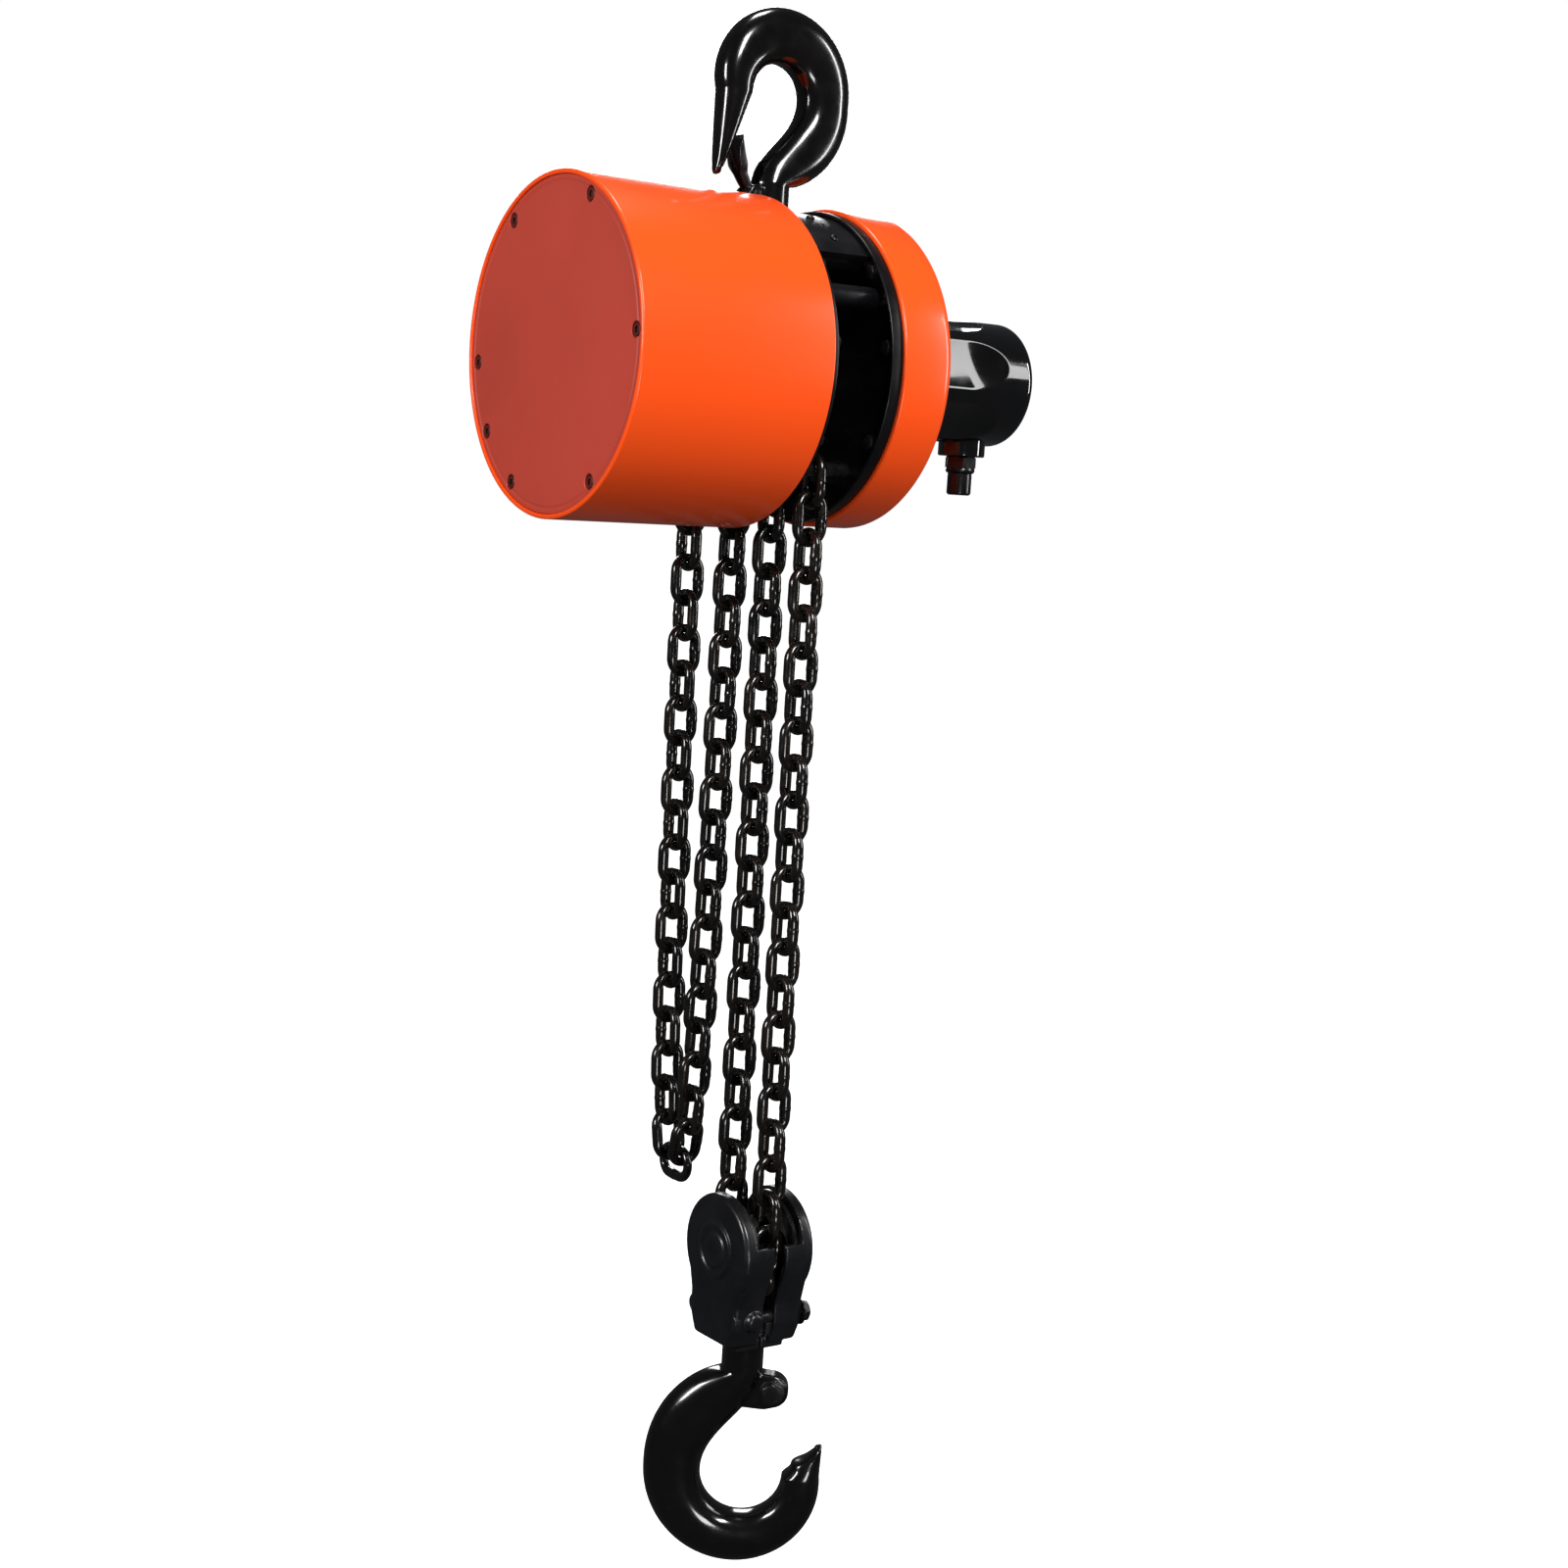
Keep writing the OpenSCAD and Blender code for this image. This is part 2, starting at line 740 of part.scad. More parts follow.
module top_hook() {
    neck_z = -top_bowl_r - top_neck_h;
    color(black) difference() {
        union() {
            translate([0, 0, -top_bowl_r]) rotate([0, 180, 0])
                hook_body(top_bowl_r, top_hook_t, top_reach, top_nose_h, top_neck, top_neck_h);
            translate([0, 0, yoke_z[1] + 0.3])
                cylinder(h = neck_z - yoke_z[1] - 0.3, r = top_neck + 0.6);
            translate([0, 0, yoke_z[0] - 26]) cylinder(h = 60, r = shank_r);
            translate([latch_x + 1, 11, latch_z]) rotate([90, 0, 0]) cylinder(h = 22, r = 8);
        }
        translate([latch_x - 9, -latch_slot, latch_z - 12]) cube([22, 2 * latch_slot, 40]);
        translate([latch_x, 20, latch_z]) rotate([90, 0, 0]) cylinder(h = 40, r = latch_pin_r);
    }
}

module top_hook_latch() {
    color(steel) translate([0, latch_half, 0]) rotate([90, 0, 0])
        linear_extrude(height = 2 * latch_half) latch_shape();
}

module top_latch_pin() {
    color(steel) translate([latch_x, 11, latch_z]) rotate([90, 0, 0])
        cylinder(h = 22, r = latch_pin_r);
}

module top_latch_spring() {
    color(steel) translate([latch_x, latch_slot - 0.2, latch_z]) rotate([90, 0, 0]) difference() {
        cylinder(h = 3, r = 4.5);
        translate([0, 0, -1]) cylinder(h = 6, r = latch_pin_r);
    }
}

module thrust_ring(z) {
    color(steel) translate([0, 0, z]) difference() {
        cylinder(h = 6.9, r = 22);
        translate([0, 0, -1]) cylinder(h = 10, r = shank_r + run);
    }
}

module hook_nut_shape(z, h) {
    color(steel) translate([0, 0, z]) difference() {
        cylinder(h = h, r = 22, $fn = 6);
        translate([0, 0, -1]) cylinder(h = h + 2, r = shank_r);
    }
}

module top_thrust_bearing() {
    thrust_ring(yoke_z[0] - 7);
}

module top_hook_nut() {
    hook_nut_shape(yoke_z[0] - 25, 17.9);
}

// ---------- hook block ----------

shell_in = 22.5;
shell_out = 34;
boss_t = 2.5;
bolt_y = 27;
bolt_sink = 6;
bolt_z = idler_z - 54;
ledge_t = 10;
ring_t = 5;

slot_half = 5.5;
cup_r = 41;
cup_top = 10;
well_r = 22;

// side view of the block: a round head over the wheel and a narrower chamfered foot
module block_outline() {
    circle(r = 46);
    polygon([[-38, -25], [-34, -42], [-34, -60], [-26, -78], [26, -78], [34, -60],
             [34, -42], [38, -25]]);
}

// one half of the block; side is -1 for the front shell and 1 for the rear one
module block_shell(side) {
    color(black) difference() {
        union() {
            translate([0, idler_y, idler_z]) {
                along_x(side > 0 ? slot_half : -shell_out)
                    linear_extrude(height = shell_out - slot_half) block_outline();
                rod_x(side > 0 ? shell_out : -shell_out - boss_t,
                    side > 0 ? shell_out + boss_t : -shell_out, 24);
                translate([side > 0 ? 0.1 : -shell_in - 1, -24, -foot_h])
                    cube([shell_in + 0.9, 48, ledge_t]);
                if (side < 0)
                    for (s = [-1, 1])
                        translate([-15, s * 39, bolt_z - idler_z]) rotate([s * 90, 0, 0])
                            cylinder(h = 12, r1 = 6.5, r2 = 9);
            }
        }
        translate([side > 0 ? 0 : -shell_in, idler_y, idler_z]) {
            along_x(side > 0 ? -1 : 0) cylinder(h = shell_in + 1, r = cup_r);
            translate([side > 0 ? -1 : 0, -60, cup_top]) cube([shell_in + 1, 120, 60]);
        }
        translate([0, idler_y, block_foot + ledge_t]) cylinder(h = 60, r = well_r);
        rod_x(-50, 50, 8, idler_y, idler_z);
        for (s = [-1, 1])
            union() {
                rod_x(-50, 50, 5, idler_y + s * bolt_y, bolt_z);
                rod_x(-50, bolt_sink - shell_out, 8, idler_y + s * bolt_y, bolt_z);
            }
        translate([0, idler_y, block_foot - 1]) cylinder(h = 20, r = shank_r + run);
        ring_x(side > 0 ? shell_out + 1 : -shell_out - 4,
            side > 0 ? shell_out + 4 : -shell_out - 1, 19, 14, idler_y, idler_z);
    }
}

module block_shell_front() {
    block_shell(-1);
}

module block_shell_rear() {
    block_shell(1);
}

module block_bolts() {
    color(steel) for (s = [-1, 1]) {
        rod_x(-shell_out, shell_out + 9, 5, idler_y + s * bolt_y, bolt_z);
        rod_x(-shell_out, bolt_sink - shell_out, 8, idler_y + s * bolt_y, bolt_z);
    }
}

module block_nuts() {
    color(steel) for (s = [-1, 1])
        difference() {
            hex_x(shell_out, shell_out + 8, 9, idler_y + s * bolt_y, bolt_z);
            rod_x(shell_out - 1, shell_out + 9, 5, idler_y + s * bolt_y, bolt_z);
        }
}

module hook_thrust_bearing() {
    color(steel) translate([0, idler_y, block_foot + ledge_t]) difference() {
        cylinder(h = ring_t - 0.1, r = 20.5);
        translate([0, 0, -1]) cylinder(h = 10, r = shank_r + run);
    }
}

module hook_nut() {
    color(steel) translate([0, idler_y, block_foot + ledge_t + ring_t]) difference() {
        cylinder(h = 11, r = 20.5);
        translate([0, 0, -1]) cylinder(h = 18, r = shank_r);
    }
}

lug_x = 26;
lug_z = 73;
lug_r = 14;
lug_bolt_r = 4;

module in_bottom_hook() {
    translate([0, idler_y, bowl_z]) rotate([0, 0, hook_turn]) children();
}

module bottom_hook() {
    shank_top = foot_drop + ledge_t + ring_t + 12;
    color(black) in_bottom_hook() difference() {
        union() {
            hook_body(low_bowl_r, low_hook_t, low_reach, low_nose_h, low_neck, low_neck_h,
                low_lean);
            translate([0, 0, low_neck_h])
                cylinder(h = foot_drop - low_neck_h - 0.3, r = low_neck + 0.6);
            translate([0, 0, low_neck_h]) cylinder(h = shank_top - low_neck_h, r = shank_r);
            hull() {
                translate([lug_x, 9, lug_z]) rotate([90, 0, 0]) cylinder(h = 18, r = lug_r);
                translate([6, -9, lug_z - 12]) cube([4, 18, 24]);
            }
        }
        translate([lug_x, 20, lug_z]) rotate([90, 0, 0]) cylinder(h = 40, r = lug_bolt_r);
    }
}

module lug_bolt() {
    color(steel) in_bottom_hook() translate([lug_x, 0, lug_z]) rotate([90, 0, 0]) {
        translate([0, 0, -17]) cylinder(h = 28, r = lug_bolt_r);
        translate([0, 0, 9]) cylinder(h = 6, r = 9, $fn = 6);
    }
}

module lug_nut() {
    color(steel) in_bottom_hook() translate([lug_x, 0, lug_z]) rotate([90, 0, 0]) difference() {
        translate([0, 0, -16]) cylinder(h = 7, r = 9, $fn = 6);
        translate([0, 0, -17]) cylinder(h = 9, r = lug_bolt_r);
    }
}

top_hook();
top_hook_latch();
top_latch_pin();
top_latch_spring();
top_hook_nut();
top_thrust_bearing();
top_yoke();
yoke_bolts();
front_side_plate();
rear_side_plate();
stay_bolts();
barrel_screws();
case_screws();
chain_guide();
chain_stripper();
frame_web();
fall_anchor_pin();
slack_anchor_pin();
load_sheave();
sheave_bearings();
sheave_gear();
motor_barrel();
front_cover();
cover_gasket();
cover_screws();
motor_stator();
stator_windings();
motor_rotor();
drive_shaft();
motor_end_shields();
rotor_bearings();
brake_disc();
brake_magnet();
gear_case();
lay_gear_upper();
lay_gear_lower();
rear_cap();
cap_screws();
contactor_block();
gland_body();
gland_nut();
sheave_wrap();
load_fall_upper();
load_fall_lower();
dead_fall_upper();
dead_fall_lower();
idler_wrap();
slack_chain();
block_shell_front();
block_shell_rear();
idler_sheave();
idler_bush();
idler_axle();
block_bolts();
block_nuts();
hook_thrust_bearing();
hook_nut();
bottom_hook();
lug_bolt();
lug_nut();
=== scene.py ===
"""Looks of an electric chain hoist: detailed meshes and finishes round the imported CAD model."""
import json
import math

import bmesh
import bpy
import numpy as np
from mathutils import Matrix, Vector


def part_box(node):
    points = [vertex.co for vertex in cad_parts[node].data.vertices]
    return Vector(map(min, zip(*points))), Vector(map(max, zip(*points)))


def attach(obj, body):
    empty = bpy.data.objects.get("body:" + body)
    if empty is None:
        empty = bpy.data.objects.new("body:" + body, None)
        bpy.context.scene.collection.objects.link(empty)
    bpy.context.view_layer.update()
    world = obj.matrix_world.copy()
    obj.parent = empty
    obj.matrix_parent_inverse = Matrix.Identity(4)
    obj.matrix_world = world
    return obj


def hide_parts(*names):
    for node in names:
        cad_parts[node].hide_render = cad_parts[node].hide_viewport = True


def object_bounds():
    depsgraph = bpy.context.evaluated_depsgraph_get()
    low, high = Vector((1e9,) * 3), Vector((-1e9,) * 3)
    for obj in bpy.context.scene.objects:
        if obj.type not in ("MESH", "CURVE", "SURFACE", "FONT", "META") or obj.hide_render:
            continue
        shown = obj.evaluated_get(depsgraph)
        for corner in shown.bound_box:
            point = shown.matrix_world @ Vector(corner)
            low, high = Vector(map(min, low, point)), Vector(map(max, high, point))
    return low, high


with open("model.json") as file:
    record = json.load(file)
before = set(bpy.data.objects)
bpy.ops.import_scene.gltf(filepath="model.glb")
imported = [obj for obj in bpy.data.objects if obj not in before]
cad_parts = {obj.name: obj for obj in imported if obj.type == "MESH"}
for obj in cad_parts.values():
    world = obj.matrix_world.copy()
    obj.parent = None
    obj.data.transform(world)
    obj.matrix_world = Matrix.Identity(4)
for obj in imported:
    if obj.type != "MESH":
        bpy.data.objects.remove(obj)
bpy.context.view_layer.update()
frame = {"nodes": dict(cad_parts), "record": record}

MM = 0.001


def box(node):
    """Lowest and highest corner of a CAD node in millimetres."""
    low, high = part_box(node)
    return np.array(low) / MM, np.array(high) / MM


# ---------- places, in millimetres, from the CAD nodes ----------

barrel_low, barrel_high = box("motor_barrel")
case_low, case_high = box("gear_case")
cap_high = box("rear_cap")[1]
housing_y = (barrel_low[1] + barrel_high[1]) / 2
axis_z = (barrel_low[2] + barrel_high[2]) / 2
barrel_r = (barrel_high[2] - barrel_low[2]) / 2
case_r = (case_high[2] - case_low[2]) / 2
front_x, barrel_end = barrel_low[0], barrel_high[0]
case_x, case_end = case_low[0], case_high[0]
cap_end = cap_high[0]
gap_front, gap_rear = box("top_yoke")[0][0], box("top_yoke")[1][0]
plate_r = (box("front_side_plate")[1][2] - box("front_side_plate")[0][2]) / 2
idler_y = float(np.mean([c[1] for c in box("idler_axle")]))
idler_z = float(np.mean([c[2] for c in box("idler_axle")]))

# ---------- driving values repeated from the CAD source, in millimetres ----------

PITCH, WIRE_R, SIDE_R, CROWN_R = 30.0, 3.97, 4.75, 12.0
STAND_ARM, FLAT_ARM, JOINT = 7.0, 19.0, 4.0
FLAT_R, STAND_R = 23.0526, 29.9808
FALL_LINKS, LIFT_LINKS, SLACK_LINKS, SLACK_SCALE = 24, 10, 23, 6.2
COVER_R, COVER_T, COVER_SET = 128.0, 5.0, 1.5
SCREW_RING = 0.905 * barrel_r
COVER_ANGLES = (54, 112, 175, -122, -62, -34, -6)
FLANGE_ANGLES, FLANGE_RING = (140, 172, 210, 250, 290, 322), 116.0
STAY_ANGLES, STAY_RING = (12, 50, 128, 150), 106.0
CAP_R, CAP_PAD, GLAND_X = 52.0, 10.0, cap_end - 34
FLUTE_FIRST = 14.0
TOP_BOWL = dict(r=25.0, t=34.0, reach=(54.0, 70.0, 69.0), nose_h=66.0, neck=16.0, neck_h=70.0)
LOW_BOWL = dict(r=34.0, t=38.0, reach=(66.0, 76.0, 82.0), nose_h=27.0, neck=17.5, neck_h=90.0,
                lean=4.0)
FOOT_H, FOOT_DROP, HOOK_TURN = 83.0, 113.0, -36.0
SHANK_R = 13.0
BOWL_Z = idler_z - FOOT_H - FOOT_DROP
LATCH_X, LATCH_Z, LATCH_TIP = -19.0, -104.0, (-33.0, -62.0)
SHELL_IN, BOSS_T = 22.5, 2.5
BOLT_Y, BOLT_Z = 27.0, idler_z - 54
LUG_X, LUG_Z, LUG_R = 26.0, 73.0, 14.0

# ---------- materials ----------


def material(name, base, other, rough, rough_to, metallic=0.0, coat=0.0, coat_rough=0.05,
             patch=9.0, grain=900.0, bump=0.05, depth=0.0002, specular=0.5, wear=None):
    """Finish with cloudy colour, uneven gloss and a fine relief; wear tints worn, raised spots."""
    m = bpy.data.materials.new(name)
    m.use_nodes = True
    n, l = m.node_tree.nodes, m.node_tree.links
    shader = n["Principled BSDF"]
    shader.inputs["Metallic"].default_value = metallic
    shader.inputs["Coat Weight"].default_value = coat
    shader.inputs["Coat Roughness"].default_value = coat_rough
    shader.inputs["Specular IOR Level"].default_value = specular
    place = n.new("ShaderNodeTexCoord")

    def noise(scale, detail=3.0, rough_noise=0.55):
        t = n.new("ShaderNodeTexNoise")
        t.inputs["Scale"].default_value = scale
        t.inputs["Detail"].default_value = detail
        t.inputs["Roughness"].default_value = rough_noise
        l.new(place.outputs["Object"], t.inputs["Vector"])
        return t.outputs["Fac"]

    cloud = n.new("ShaderNodeValToRGB")
    cloud.color_ramp.elements[0].position = 0.36
    cloud.color_ramp.elements[1].position = 0.66
    cloud.color_ramp.elements[0].color = (*base, 1)
    cloud.color_ramp.elements[1].color = (*other, 1)
    l.new(noise(patch), cloud.inputs["Fac"])
    colour = cloud.outputs["Color"]
    gloss = n.new("ShaderNodeMapRange")
    gloss.inputs["From Min"].default_value = 0.35
    gloss.inputs["From Max"].default_value = 0.65
    gloss.inputs["To Min"].default_value = rough
    gloss.inputs["To Max"].default_value = rough_to
    l.new(noise(patch * 4.0, 5.0), gloss.inputs["Value"])
    l.new(gloss.outputs["Result"], shader.inputs["Roughness"])
    if wear:
        tint, low, high = wear
        spots = n.new("ShaderNodeMapRange")
        spots.inputs["From Min"].default_value = low
        spots.inputs["From Max"].default_value = high
        l.new(noise(patch * 14.0, 6.0, 0.7), spots.inputs["Value"])
        worn = n.new("ShaderNodeMix")
        worn.data_type = "RGBA"
        worn.inputs["B"].default_value = (*tint, 1)
        l.new(spots.outputs["Result"], worn.inputs["Factor"])
        l.new(colour, worn.inputs["A"])
        colour = worn.outputs["Result"]
    l.new(colour, shader.inputs["Base Color"])
    relief = n.new("ShaderNodeBump")
    relief.inputs["Strength"].default_value = bump
    relief.inputs["Distance"].default_value = depth
    l.new(noise(grain, 2.0), relief.inputs["Height"])
    l.new(relief.outputs["Normal"], shader.inputs["Normal"])
    return m


FINISH = {
    "orange_paint": material("orange_paint", (1.0, 0.088, 0.008), (0.98, 0.082, 0.007), 0.28, 0.31,
                             coat=0.35, coat_rough=0.10, patch=5.0, grain=520.0, bump=0.08,
                             specular=0.3),
    "cover_paint": material("cover_paint", (0.50, 0.055, 0.032), (0.45, 0.049, 0.029), 0.48, 0.56,
                            patch=7.0, grain=1300.0, bump=0.22, specular=0.4),
    "black_enamel": material("black_enamel", (0.0015, 0.0015, 0.0017), (0.0032, 0.0026, 0.0024),
                             0.13, 0.21, coat=0.35, coat_rough=0.04, patch=14.0, grain=420.0,
                             bump=0.12, specular=0.42, wear=((0.022, 0.009, 0.005), 0.62, 0.82)),
    "satin_black": material("satin_black", (0.0022, 0.0022, 0.0028), (0.0045, 0.0045, 0.0055),
                            0.26, 0.36, patch=11.0, grain=800.0, bump=0.18, specular=0.35,
                            wear=((0.020, 0.018, 0.016), 0.66, 0.84)),
    "chain_black": material("chain_black", (0.0026, 0.0024, 0.0022), (0.0085, 0.0060, 0.0042),
                            0.14, 0.28, metallic=0.2, coat=0.5, coat_rough=0.06, patch=26.0,
                            grain=650.0, bump=0.16, wear=((0.042, 0.026, 0.015), 0.58, 0.80)),
    "steel": material("steel", (0.50, 0.51, 0.53), (0.40, 0.41, 0.43), 0.24, 0.36, metallic=1.0,
                      patch=30.0, grain=1500.0, bump=0.12),
    # blackened_steel also serves as painted shade on the IN_SHADE parts below
    "blackened_steel": material("blackened_steel", (0.006, 0.006, 0.007), (0.014, 0.013, 0.013),
                                0.22, 0.36, metallic=0.3, coat=0.3, patch=34.0, grain=900.0,
                                bump=0.16, wear=((0.060, 0.048, 0.038), 0.62, 0.82)),
    "copper_wire": material("copper_wire", (0.62, 0.25, 0.10), (0.52, 0.20, 0.08), 0.3, 0.4,
                            metallic=0.9, patch=40.0, grain=700.0, bump=0.4),
    "bronze": material("bronze", (0.55, 0.36, 0.16), (0.45, 0.29, 0.13), 0.28, 0.4, metallic=1.0,
                       patch=40.0, grain=900.0, bump=0.15),
    "black_plastic": material("black_plastic", (0.002, 0.002, 0.0024), (0.004, 0.004, 0.0045),
                              0.18, 0.26, patch=20.0, grain=1100.0, bump=0.10, specular=0.45),
    "grey_plastic": material("grey_plastic", (0.28, 0.29, 0.31), (0.25, 0.26, 0.28), 0.45, 0.55,
                             patch=20.0, grain=1500.0, bump=0.15),
    "gasket_rubber": material("gasket_rubber", (0.010, 0.010, 0.010), (0.016, 0.016, 0.016), 0.6,
                              0.75, patch=30.0, grain=1600.0, bump=0.3),
    "cast_black": material("cast_black", (0.0032, 0.0034, 0.0042), (0.0062, 0.0064, 0.0076), 0.26,
                           0.40, coat=0.15, coat_rough=0.12, patch=16.0, grain=380.0, bump=0.26,
                           specular=0.4, wear=((0.030, 0.022, 0.016), 0.64, 0.84)),
    # the screw heads' red is the cover's paint, darkened well below the cover's red as painted
    # shade of their pockets
    "screw_paint_with_shade": material("screw_paint_with_shade", (0.10, 0.013, 0.008), (0.06, 0.010, 0.007), 0.35, 0.5,
                            patch=40.0, grain=1300.0, bump=0.2, specular=0.4),
    "cap_gloss": material("cap_gloss", (0.0012, 0.0012, 0.0014), (0.0024, 0.0024, 0.0028), 0.07,
                          0.12, coat=0.5, coat_rough=0.02, patch=12.0, grain=300.0, bump=0.05),
}

# ---------- mesh makers: each gives corners in millimetres and faces ----------


def joined(*parts):
    """One mesh from several."""
    corners, faces, base = [], [], 0
    for c, f in parts:
        corners.append(np.asarray(c, float).reshape(-1, 3))
        faces += [tuple(i + base for i in face) for face in f]
        base += len(corners[-1])
    return np.concatenate(corners), faces


def moved(part, shift=(0, 0, 0), turn=None):
    """A part turned about the origin, then shifted."""
    c = np.asarray(part[0], float)
    if turn is not None:
        c = c @ np.array(turn).T
    return c + np.array(shift, float), part[1]


def turn_about(axis, degrees):
    """Rotation matrix about one of the axes."""
    return np.array(Matrix.Rotation(math.radians(degrees), 3, axis))


def rings_to_mesh(rings, closed=False, caps=True, wrap=True):
    """Faces between successive rings of the same number of corners."""
    rings = [np.asarray(r, float) for r in rings]
    n, k = len(rings), len(rings[0])
    faces = []
    for i in range(n if closed else n - 1):
        a, b = i * k, ((i + 1) % n) * k
        for j in range(k if wrap else k - 1):
            m = (j + 1) % k
            faces.append((a + j, a + m, b + m, b + j))
    if caps and not closed:
        faces.append(tuple(range(k - 1, -1, -1)))
        faces.append(tuple(range((n - 1) * k, n * k)))
    return np.concatenate(rings), faces


def filleted(points, closed=True, steps=6):
    """Rounds the corners of a polyline; each point is (u, v, fillet radius)."""
    out, n = [], len(points)
    for i, p in enumerate(points):
        r = p[2] if len(p) > 2 else 0
        if r <= 0 or (not closed and i in (0, n - 1)):
            out.append((p[0], p[1]))
            continue
        c = np.array(p[:2], float)
        a = np.array(points[i - 1][:2], float) - c
        b = np.array(points[(i + 1) % n][:2], float) - c
        la, lb = np.linalg.norm(a), np.linalg.norm(b)
        a, b = a / la, b / lb
        half = math.acos(max(-1, min(1, float(a @ b)))) / 2
        if abs(half - math.pi / 2) < 0.01:
            out.append((p[0], p[1]))
            continue
        reach = min(r / math.tan(half), 0.48 * la, 0.48 * lb)
        r = reach * math.tan(half)
        middle = c + (a + b) / np.linalg.norm(a + b) * r / math.sin(half)
        start, end = c + a * reach - middle, c + b * reach - middle
        a0 = math.atan2(start[1], start[0])
        da = (math.atan2(end[1], end[0]) - a0 + math.pi) % (2 * math.pi) - math.pi
        for s in range(steps + 1):
            t = a0 + da * s / steps
            out.append((middle[0] + r * math.cos(t), middle[1] + r * math.sin(t)))
    return out


def lathe(profile, y=0.0, z=0.0, segments=96, closed=True, fillet_steps=6, span=None):
    """Turns a profile of (x, radius, fillet) about an axis along X; span in degrees from +Y."""
    pts = filleted(profile, closed, fillet_steps)
    whole = span is None
    a0, a1 = (0, 360) if whole else span
    count = segments if whole else segments + 1
    rings = []
    for j in range(count):
        a = math.radians(a0 + (a1 - a0) * j / segments)
        rings.append([(x, y + r * math.cos(a), z + r * math.sin(a)) for x, r in pts])
    return rings_to_mesh(rings, closed=whole, caps=closed and not whole, wrap=closed)


def upright(part, x, y, z):
    """A lathe part made about X, stood along Z and placed."""
    return moved(part, (x, y, z), turn_about("Y", -90))


def rod(x0, x1, r, y=0.0, z=0.0, fillet=0.8, segments=48):
    """Round bar along X with rounded rims."""
    return lathe([(x0, 0), (x0, r, fillet), (x1, r, fillet), (x1, 0)], y, z, segments,
                 closed=False, fillet_steps=4)


def hex_head(x0, x1, r, y=0.0, z=0.0, chamfer_at=1, turn=0.0, bore=0.0):
    """Hexagon, 2r across corners, with a bolt head's turned chamfer at one end or at both (0)."""
    count, flat = 72, r * math.cos(math.radians(30))
    face_r, slope = flat * 0.97, math.tan(math.radians(30))
    height = x1 - x0
    rise = (r - face_r) * slope
    both = chamfer_at == 0
    levels = {0.0, height}
    if both or chamfer_at < 0:
        levels.update(rise * t for t in (0.33, 0.66, 1.0))
    if both or chamfer_at > 0:
        levels.update(height - rise * t for t in (1.0, 0.66, 0.33))

    def ring(level):
        out = []
        for j in range(count):
            a = math.radians(360 * j / count)
            wedge = (a + math.pi / 6) % (math.pi / 3) - math.pi / 6
            radius = flat / math.cos(wedge)
            if both or chamfer_at > 0:
                radius = min(radius, face_r + (height - level) / slope)
            if both or chamfer_at < 0:
                radius = min(radius, face_r + level / slope)
            b = a + math.radians(turn)
            out.append((x0 + level, y + radius * math.cos(b), z + radius * math.sin(b)))
        return out

    rings = [ring(level) for level in sorted(levels)]
    part = rings_to_mesh(rings, caps=False)
    if not bore:
        face = [tuple(range(count))]
        return joined(part, (rings[0], face), (rings[-1], face))
    angles = [math.radians(360 * j / count + turn) for j in range(count)]
    inner = [[(x, y + bore * math.cos(a), z + bore * math.sin(a)) for a in angles]
             for x in (x0, x1)]
    return joined(part, rings_to_mesh([rings[0], inner[0]], caps=False),
                  rings_to_mesh([rings[-1], inner[1]], caps=False),
                  rings_to_mesh(inner, caps=False))


def block(low, high, edge=1.5, steps=3):
    """A box with rounded edges."""
    bm = bmesh.new()
    bmesh.ops.create_cube(bm, size=1.0)
    low, high = np.array(low, float), np.array(high, float)
    for v in bm.verts:
        v.co = Vector((low + high) / 2 + np.array(v.co) * (high - low))
    bmesh.ops.bevel(bm, geom=bm.edges[:], offset=edge, segments=steps, profile=0.5, affect="EDGES")
    part = (np.array([v.co for v in bm.verts]),
            [tuple(v.index for v in f.verts) for f in bm.faces])
    bm.free()
    return part


def slab(outline, x0, x1, edge=2.0, steps=5, inner_edge=None):
    """Extrudes a smooth closed outline of (y, z) along X with rounded edges on both faces."""
    o = np.array(outline, float)
    ahead, behind = np.roll(o, -1, 0), np.roll(o, 1, 0)
    along = ahead - behind
    normal = np.stack([along[:, 1], -along[:, 0]], 1)
    normal /= np.linalg.norm(normal, axis=1)[:, None]
    area = 0.5 * float(np.sum(o[:, 0] * ahead[:, 1] - ahead[:, 0] * o[:, 1]))
    if area < 0:
        normal = -normal
    other = edge if inner_edge is None else inner_edge
    rings = []
    for s in range(steps + 1):
        a = math.pi / 2 * s / steps
        p = o - normal * edge * (1 - math.sin(a))
        rings.append(np.column_stack([np.full(len(o), x0 + edge * (1 - math.cos(a))), p]))
    for s in range(steps + 1):
        a = math.pi / 2 * (1 - s / steps)
        p = o - normal * other * (1 - math.sin(a))
        rings.append(np.column_stack([np.full(len(o), x1 - other * (1 - math.cos(a))), p]))
    return rings_to_mesh(rings)


def resampled(points, count):
    """Evenly spaced points on a closed polyline."""
    p = np.array(points, float)
    p = np.concatenate([p, p[:1]])
    d = np.concatenate([[0], np.cumsum(np.linalg.norm(np.diff(p, axis=0), axis=1))])
    t = np.linspace(0, d[-1], count, endpoint=False)
    return np.column_stack([np.interp(t, d, p[:, k]) for k in range(p.shape[1])])


# ---------- turning meshes into pieces ----------


